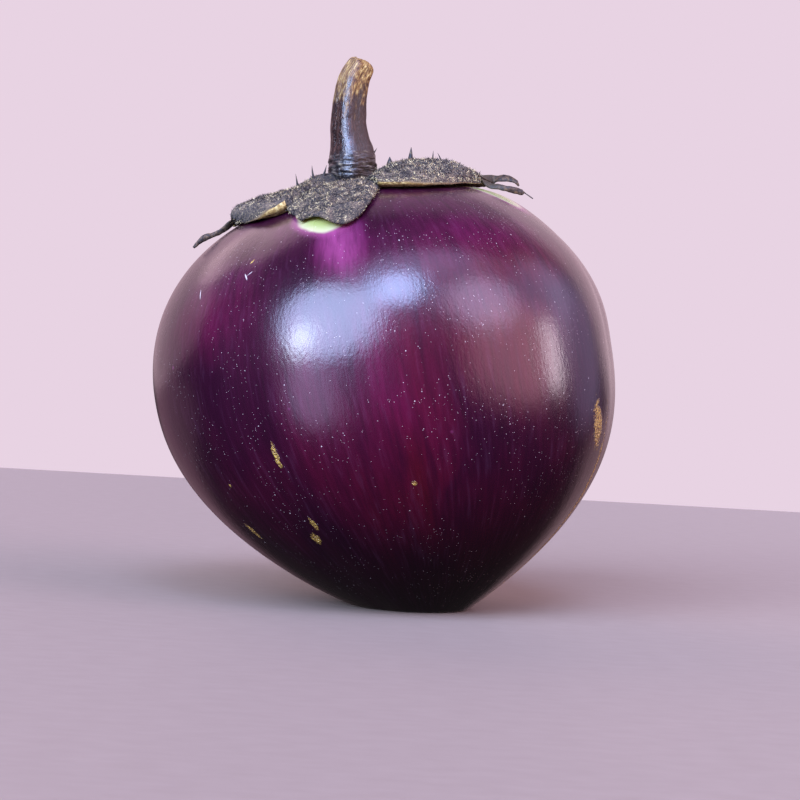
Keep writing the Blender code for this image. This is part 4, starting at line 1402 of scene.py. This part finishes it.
def edge_material():
    """The bare inner side of the dried calyx: corky, tan to brown, with fibres."""
    made, tree, shader = new_material("dried_calyx_inner_side")
    place = add(tree, "ShaderNodeTexCoord", output="Object")
    fibres = add(tree, "ShaderNodeTexNoise", {"Vector": place, "Scale": 1 / 0.0007, "Detail": 4.0})
    colour = add(
        tree, "ShaderNodeValToRGB", [fibres],
        stops=((0.32, "65472a"), (0.46, "ac8a49"), (0.66, "dcc07c")),
    )
    # the right sepal's edge is bleached
    split = add(tree, "ShaderNodeSeparateXYZ", [place]).node
    bleached = add(tree, "ShaderNodeMapRange", [split.outputs[0], -0.002, 0.006, 0.0, 0.75])
    colour = add(
        tree, "ShaderNodeMix", {0: bleached, 6: colour, 7: tint("d9cfa6")}, data_type="RGBA", output=2
    )
    bump = add(tree, "ShaderNodeBump", {"Strength": 1.0, "Distance": 0.0001, "Height": fibres})
    feed(tree, shader, {"Base Color": colour, "Roughness": 0.7, "Normal": bump})
    return made


def tip_material():
    """The curled dry ends of the sepals: brown, with grey felt left on them."""
    made, tree, shader = new_material("dried_calyx_tip")
    place = add(tree, "ShaderNodeTexCoord", output="Object")
    fibres = add(tree, "ShaderNodeTexNoise", {"Vector": place, "Scale": 1 / 0.0008, "Detail": 4.0})
    along = add(tree, "ShaderNodeAttribute", output="Fac", attribute_name="along_tip")
    colour = add(
        tree, "ShaderNodeValToRGB", [fibres],
        stops=((0.34, "140c08"), (0.50, "3c291b"), (0.68, "6e5335")),
    )
    grey = add(tree, "ShaderNodeMapRange", [along, 0.25, 0.5, 0.8, 0.1])
    colour = add(tree, "ShaderNodeMix", {0: grey, 6: colour, 7: tint("3c3422")}, data_type="RGBA", output=2)
    bump = add(tree, "ShaderNodeBump", {"Strength": 1.0, "Distance": 0.0001, "Height": fibres})
    feed(tree, shader, {"Base Color": colour, "Roughness": 0.65, "Normal": bump})
    return made


def hair_material():
    """Star hairs, dry and matt, from nearly black to straw: the light flecks of the felt."""
    made, tree, shader = new_material("dried_star_hairs")
    shade = add(tree, "ShaderNodeAttribute", output="Fac", attribute_name="shade")
    # dark and light hairs grow in patches of about 1.6 mm
    place = add(tree, "ShaderNodeTexCoord", output="Object")
    patches = add(tree, "ShaderNodeTexNoise", {"Vector": place, "Scale": 1 / 0.0016, "Detail": 3.0})
    patches = add(tree, "ShaderNodeMapRange", [patches, 0.36, 0.64, -0.74, 0.40])
    shade = add(tree, "ShaderNodeMath", [shade, patches], operation="ADD", use_clamp=True)
    colour = add(
        tree, "ShaderNodeValToRGB", [shade],
        stops=((0.0, "080606"), (0.44, "2c2421"), (0.70, "907b5c"), (1.0, "ecd8a0")),
    )
    feed(tree, shader, {"Base Color": colour, "Roughness": 0.8})
    return made


def prickle_material():
    """Woody prickles, mottled from nearly black to olive brown."""
    made, tree, shader = new_material("dried_prickle")
    place = add(tree, "ShaderNodeTexCoord", output="Object")
    mottle = add(tree, "ShaderNodeTexNoise", {"Vector": place, "Scale": 1 / 0.0009, "Detail": 3.0})
    colour = add(
        tree, "ShaderNodeValToRGB", [mottle],
        stops=((0.35, "120e0d"), (0.55, "2c2420"), (0.75, "6a5a3e")),
    )
    feed(tree, shader, {"Base Color": colour, "Roughness": 0.6})
    return made


def stem_material():
    """Dried peduncle: brown-black satin bark below, bare tan wood with pale fibres towards the cut end."""
    made, tree, shader = new_material("dried_woody_peduncle")
    along = add(tree, "ShaderNodeAttribute", output="Fac", attribute_name="along")
    around = add(tree, "ShaderNodeAttribute", output="Vector", attribute_name="around")
    stretch = add(tree, "ShaderNodeMath", [along, 2.6], operation="MULTIPLY")
    stretch = add(tree, "ShaderNodeCombineXYZ", {"Z": stretch})
    place = add(tree, "ShaderNodeVectorMath", [around, stretch], operation="ADD")
    fibres = add(tree, "ShaderNodeTexNoise", {"Vector": place, "Scale": 9.0, "Detail": 5.0, "Roughness": 0.6})
    patches = add(tree, "ShaderNodeTexNoise", {"Vector": place, "Scale": 3.0, "Detail": 2.0})
    bark = add(
        tree, "ShaderNodeValToRGB", [fibres],
        stops=((0.34, "0c0506"), (0.52, "241313"), (0.70, "583a2e")),
    )
    wood = add(
        tree, "ShaderNodeValToRGB", [fibres],
        stops=((0.32, "37210f"), (0.46, "744f29"), (0.57, "98743b"), (0.68, "ceb473")),
    )
    # the foot's scales lie across the stem, 0.7 mm apart
    own = add(tree, "ShaderNodeTexCoord", output="Object")
    own = add(tree, "ShaderNodeVectorMath", [own, (0.35, 0.35, 1.0)], operation="MULTIPLY")
    scales = add(tree, "ShaderNodeTexNoise", {"Vector": own, "Scale": 1 / 0.0007, "Detail": 3.0})
    foot = add(
        tree, "ShaderNodeValToRGB", [scales],
        stops=((0.38, "070606"), (0.52, "1c1819"), (0.62, "4f4740"), (0.74, "978a72")),
    )
    wander = add(tree, "ShaderNodeMapRange", [patches, 0.3, 0.7, -0.14, 0.14])
    level = add(tree, "ShaderNodeMath", [along, wander], operation="ADD")
    high = add(tree, "ShaderNodeMapRange", [level, 0.62, 0.86, 0.0, 1.0], interpolation_type="SMOOTHSTEP")
    colour = add(tree, "ShaderNodeMix", {0: high, 6: bark, 7: wood}, data_type="RGBA", output=2)
    low = add(tree, "ShaderNodeMapRange", [along, 0.40, 0.28, 0.0, 1.0], interpolation_type="SMOOTHSTEP")
    colour = add(tree, "ShaderNodeMix", {0: low, 6: colour, 7: foot}, data_type="RGBA", output=2)
    # on the worn side the bark is browner, rougher and less glossy
    worn = add(tree, "ShaderNodeAttribute", output="Fac", attribute_name="worn")
    worn = add(tree, "ShaderNodeMapRange", [worn, 0.40, 0.75, 0.0, 1.0], interpolation_type="SMOOTHSTEP")
    warm = add(tree, "ShaderNodeMapRange", [high, 0.0, 0.6, 0.5, 0.0])
    warm = add(tree, "ShaderNodeMath", [worn, warm], operation="MULTIPLY")
    colour = add(tree, "ShaderNodeMix", {0: warm, 6: colour, 7: tint("4a3524")}, data_type="RGBA", output=2)
    roughness = add(tree, "ShaderNodeMapRange", [fibres, 0.3, 0.7, 0.12, 0.28])
    roughness = add(tree, "ShaderNodeMix", {0: worn, 2: roughness, 3: 0.50})
    roughness = add(tree, "ShaderNodeMix", {0: low, 2: roughness, 3: 0.35})
    roughness = add(tree, "ShaderNodeMix", {0: high, 2: roughness, 3: 0.65})
    gloss = add(tree, "ShaderNodeMapRange", [worn, 0.0, 1.0, 0.85, 0.30])
    bump = add(tree, "ShaderNodeBump", {"Strength": 1.0, "Distance": 0.00022, "Height": fibres})
    looks = {
        "Base Color": colour,
        "Roughness": roughness,
        "Specular IOR Level": gloss,
        "Normal": bump,
    }
    feed(tree, shader, looks)
    return made


# Soft lights as the fruit sees them: azimuth, elevation, half-width and half-height in degrees,
# share of the half-size that is evenly bright, radiance and colour
GLOWS = (
    (-117.5, 26.0, 30.0, 29.0, 0.62, 17.0, "b0c2f4"),
    (-128.0, 13.0, 10.0, 15.0, 0.20, 18.0, "dcf0ff"),
    (-84.0, 48.0, 15.0, 17.0, 0.35, 23.0, "aac4ff"),
    (-64.0, 66.0, 42.0, 16.0, 0.30, 3.2, "c0b8f0"),
    (-38.0, 36.0, 24.0, 22.0, 0.30, 7.0, "dccaf8"),
    (-26.0, 12.0, 34.0, 26.0, 0.40, 2.4, "ffc4d4"),
    (-2.0, 11.0, 10.0, 14.0, 0.30, 8.5, "f6e6f2"),
    (-122.0, -14.0, 22.0, 22.0, 0.30, 3.4, "c8c0f0"),
    (8.0, 32.0, 26.0, 26.0, 0.40, 2.0, "ccbae8"),
    (24.0, 14.0, 24.0, 30.0, 0.50, 0.9, "c0b0e0"),
    (66.0, 20.0, 26.0, 28.0, 0.60, 0.9, "f2cedc"),
    (60.0, -12.0, 30.0, 14.0, 0.60, 0.4, "e8b8c4"),
    (130.0, 14.0, 42.0, 20.0, 0.80, 0.65, "ecc4d4"),
    (130.0, -14.0, 42.0, 14.0, 0.60, 0.30, "e0a8c0"),
    (156.0, 28.0, 22.0, 16.0, 0.50, 0.6, "e0a8d0"),
    (132.0, 42.0, 21.0, 22.0, 0.75, 1.5, "eecad4"),
    (90.0, 50.0, 60.0, 22.0, 0.40, 0.4, "efcbe0"),
)
# The even light between them, above the floor and below it
LEVEL_ABOVE = 0.04
LEVEL_BELOW = 0.03


def build_world():
    """Soft lights in dark surroundings for the fruit, and one pale, plain backdrop for the camera."""
    world = bpy.data.worlds.new("studio")
    world.use_nodes = True
    tree = world.node_tree
    way = add(tree, "ShaderNodeTexCoord", output="Generated")
    split = add(tree, "ShaderNodeSeparateXYZ", [way]).node
    level = add(tree, "ShaderNodeMapRange", [split.outputs[2], -0.10, 0.05, LEVEL_BELOW, LEVEL_ABOVE])
    around = add(tree, "ShaderNodeVectorMath", {0: tint("f2dfe8")[:3], "Scale": level}, operation="SCALE")
    for azimuth, elevation, half_width, half_height, core, radiance, code in GLOWS:
        turn, rise = math.radians(azimuth), math.radians(elevation)
        centre = (math.cos(turn) * math.cos(rise), math.sin(turn) * math.cos(rise), math.sin(rise))
        spread = (0.8, math.sin(math.radians(half_width)), math.sin(math.radians(half_height)))
        away = oval_reach(tree, way, centre, (0.0, -rise, turn), spread)
        light = add(
            tree, "ShaderNodeMapRange", [away, 1.0, core, 0.0, radiance], interpolation_type="SMOOTHSTEP"
        )
        light = add(tree, "ShaderNodeVectorMath", {0: tint(code)[:3], "Scale": light}, operation="SCALE")
        around = add(tree, "ShaderNodeVectorMath", [around, light], operation="ADD")
    seen = add(tree, "ShaderNodeLightPath", output="Is Camera Ray")
    colour = add(tree, "ShaderNodeMix", {0: seen, 6: around, 7: tint("e8d3e3")}, data_type="RGBA", output=2)
    tree.links.new(colour, tree.nodes["Background"].inputs["Color"])
    bpy.context.scene.world = world
    bpy.context.scene.view_settings.view_transform = "Standard"


# The floor ends behind the fruit, where the backdrop begins, and lies a little below the part's zero
FLOOR_BACK = 0.57
FLOOR_DEPTH = 3.0
FLOOR_WIDTH = 6.0
FLOOR_HEIGHT = -0.0001


def build_floor():
    bpy.ops.mesh.primitive_plane_add(size=1.0, location=(0.0, FLOOR_BACK - FLOOR_DEPTH / 2, FLOOR_HEIGHT))
    floor = bpy.context.object
    floor.scale = (FLOOR_WIDTH, FLOOR_DEPTH, 1.0)
    floor.name = "pale_floor"
    finish, tree, shader = new_material("pale_matt_paper")
    place = add(tree, "ShaderNodeTexCoord", output="Object")
    tooth = add(tree, "ShaderNodeTexNoise", {"Vector": place, "Scale": 900.0, "Detail": 2.0})
    colour = add(
        tree, "ShaderNodeMix", {0: tooth, 6: tint("958374"), 7: tint("9f8d7e")}, data_type="RGBA", output=2
    )
    feed(tree, shader, {"Base Color": colour, "Roughness": 0.6})
    floor.data.materials.append(finish)
    # the pale floor is kept out of the skin's light and reflections, where it would show as a band
    floor.visible_glossy = False
    floor.visible_diffuse = False
    floor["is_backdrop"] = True


def build_camera():
    camera = bpy.data.objects.new("front_camera", bpy.data.cameras.new("front_camera"))
    camera.data.lens = CAMERA_LENS_MM
    camera.data.sensor_width = SENSOR_MM
    camera.data.clip_start = 0.01
    roll = math.radians(CAMERA_ROLL)
    right = Vector((math.cos(roll), 0.0, math.sin(roll)))
    up = Vector((-math.sin(roll), 0.0, math.cos(roll)))
    back = Vector((0.0, -1.0, 0.0))
    turn = Matrix((right, up, back)).transposed().to_4x4()
    camera.matrix_world = Matrix.Translation(CAMERA_PLACE) @ turn
    bpy.context.scene.collection.objects.link(camera)
    bpy.context.scene.camera = camera


def felted(made, slot):
    """Marks the faces on which hairs grow: those of one material slot, few on the flap and round the stem,
    none in the fold or along the bare margins."""
    thin = made.data.attributes["thin_felt"].data
    crease = made.data.attributes["crease"].data
    collar = made.data.attributes["collar"].data
    margin = made.data.attributes["margin"].data
    layer = made.data.attributes.new("felted", "FLOAT", "FACE")
    draw = random.Random(CALYX_FELT_SEED)
    for face, item in zip(made.data.polygons, layer.data):
        first = face.vertices[0]
        on_flap, by_stem = FLAP_BARE * thin[first].value, COLLAR_BARE * collar[first].value
        on_margin = smoothstep((margin[first].value - BARE_MARGIN_FROM) / BARE_MARGIN_OVER)
        bare = max(on_flap, crease[first].value, by_stem, on_margin)
        item.value = 1.0 if face.material_index == slot and draw.random() > bare else 0.0


def stem_felted(made):
    """Marks the stem's foot, on which the felt runs up and thins out."""
    along = made.data.attributes["along"].data
    layer = made.data.attributes.new("felted", "FLOAT", "FACE")
    draw = random.Random(FOOT_FELT_SEED)
    for face, item in zip(made.data.polygons, layer.data):
        share = sum(along[i].value for i in face.vertices) / len(face.vertices)
        felt = FOOT_FELT * smoothstep((FOOT_FELT_TO - share) / FOOT_FELT_OVER)
        item.value = 1.0 if draw.random() < felt else 0.0


def main():
    build_camera()
    build_world()
    build_floor()
    skin = skin_material()
    felt, edge, hair = felt_material(), edge_material(), hair_material()
    fruit = build_fruit(skin)
    crown = Crown(fruit)
    sepals = build_sepals(crown, felt, edge)
    crown.calyx = BVHTree.FromObject(sepals, bpy.context.evaluated_depsgraph_get())
    tips = build_tips(crown, tip_material())
    prickles = build_prickles(crown, prickle_material())
    stem = build_stem(crown, stem_material())
    felted(sepals, 0)
    stem_felted(stem)
    calyx_hairs = build_hairs("calyx_hairs", sepals, "felted", hair, HAIR_SIZES)
    foot_sizes = {**HAIR_SIZES, "Hairs per square metre": FOOT_HAIRS_PER_SQUARE_METRE}
    stem_hairs = build_hairs("stem_hairs", stem, "felted", hair, foot_sizes)
    slots = {
        fruit: "skin", sepals: "calyx", tips: "calyx", prickles: "calyx",
        calyx_hairs: "calyx", stem: "stem", stem_hairs: "stem",
    }
    for piece, slot in slots.items():
        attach(piece, BODY)
    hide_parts("fruit")
    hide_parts("calyx")
    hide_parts("stem")


main()
VISUAL_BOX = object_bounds()
boxes = {"cad": CAD_BOX, "visual": VISUAL_BOX}
{name: [list(corner) for corner in box] for name, box in boxes.items()}
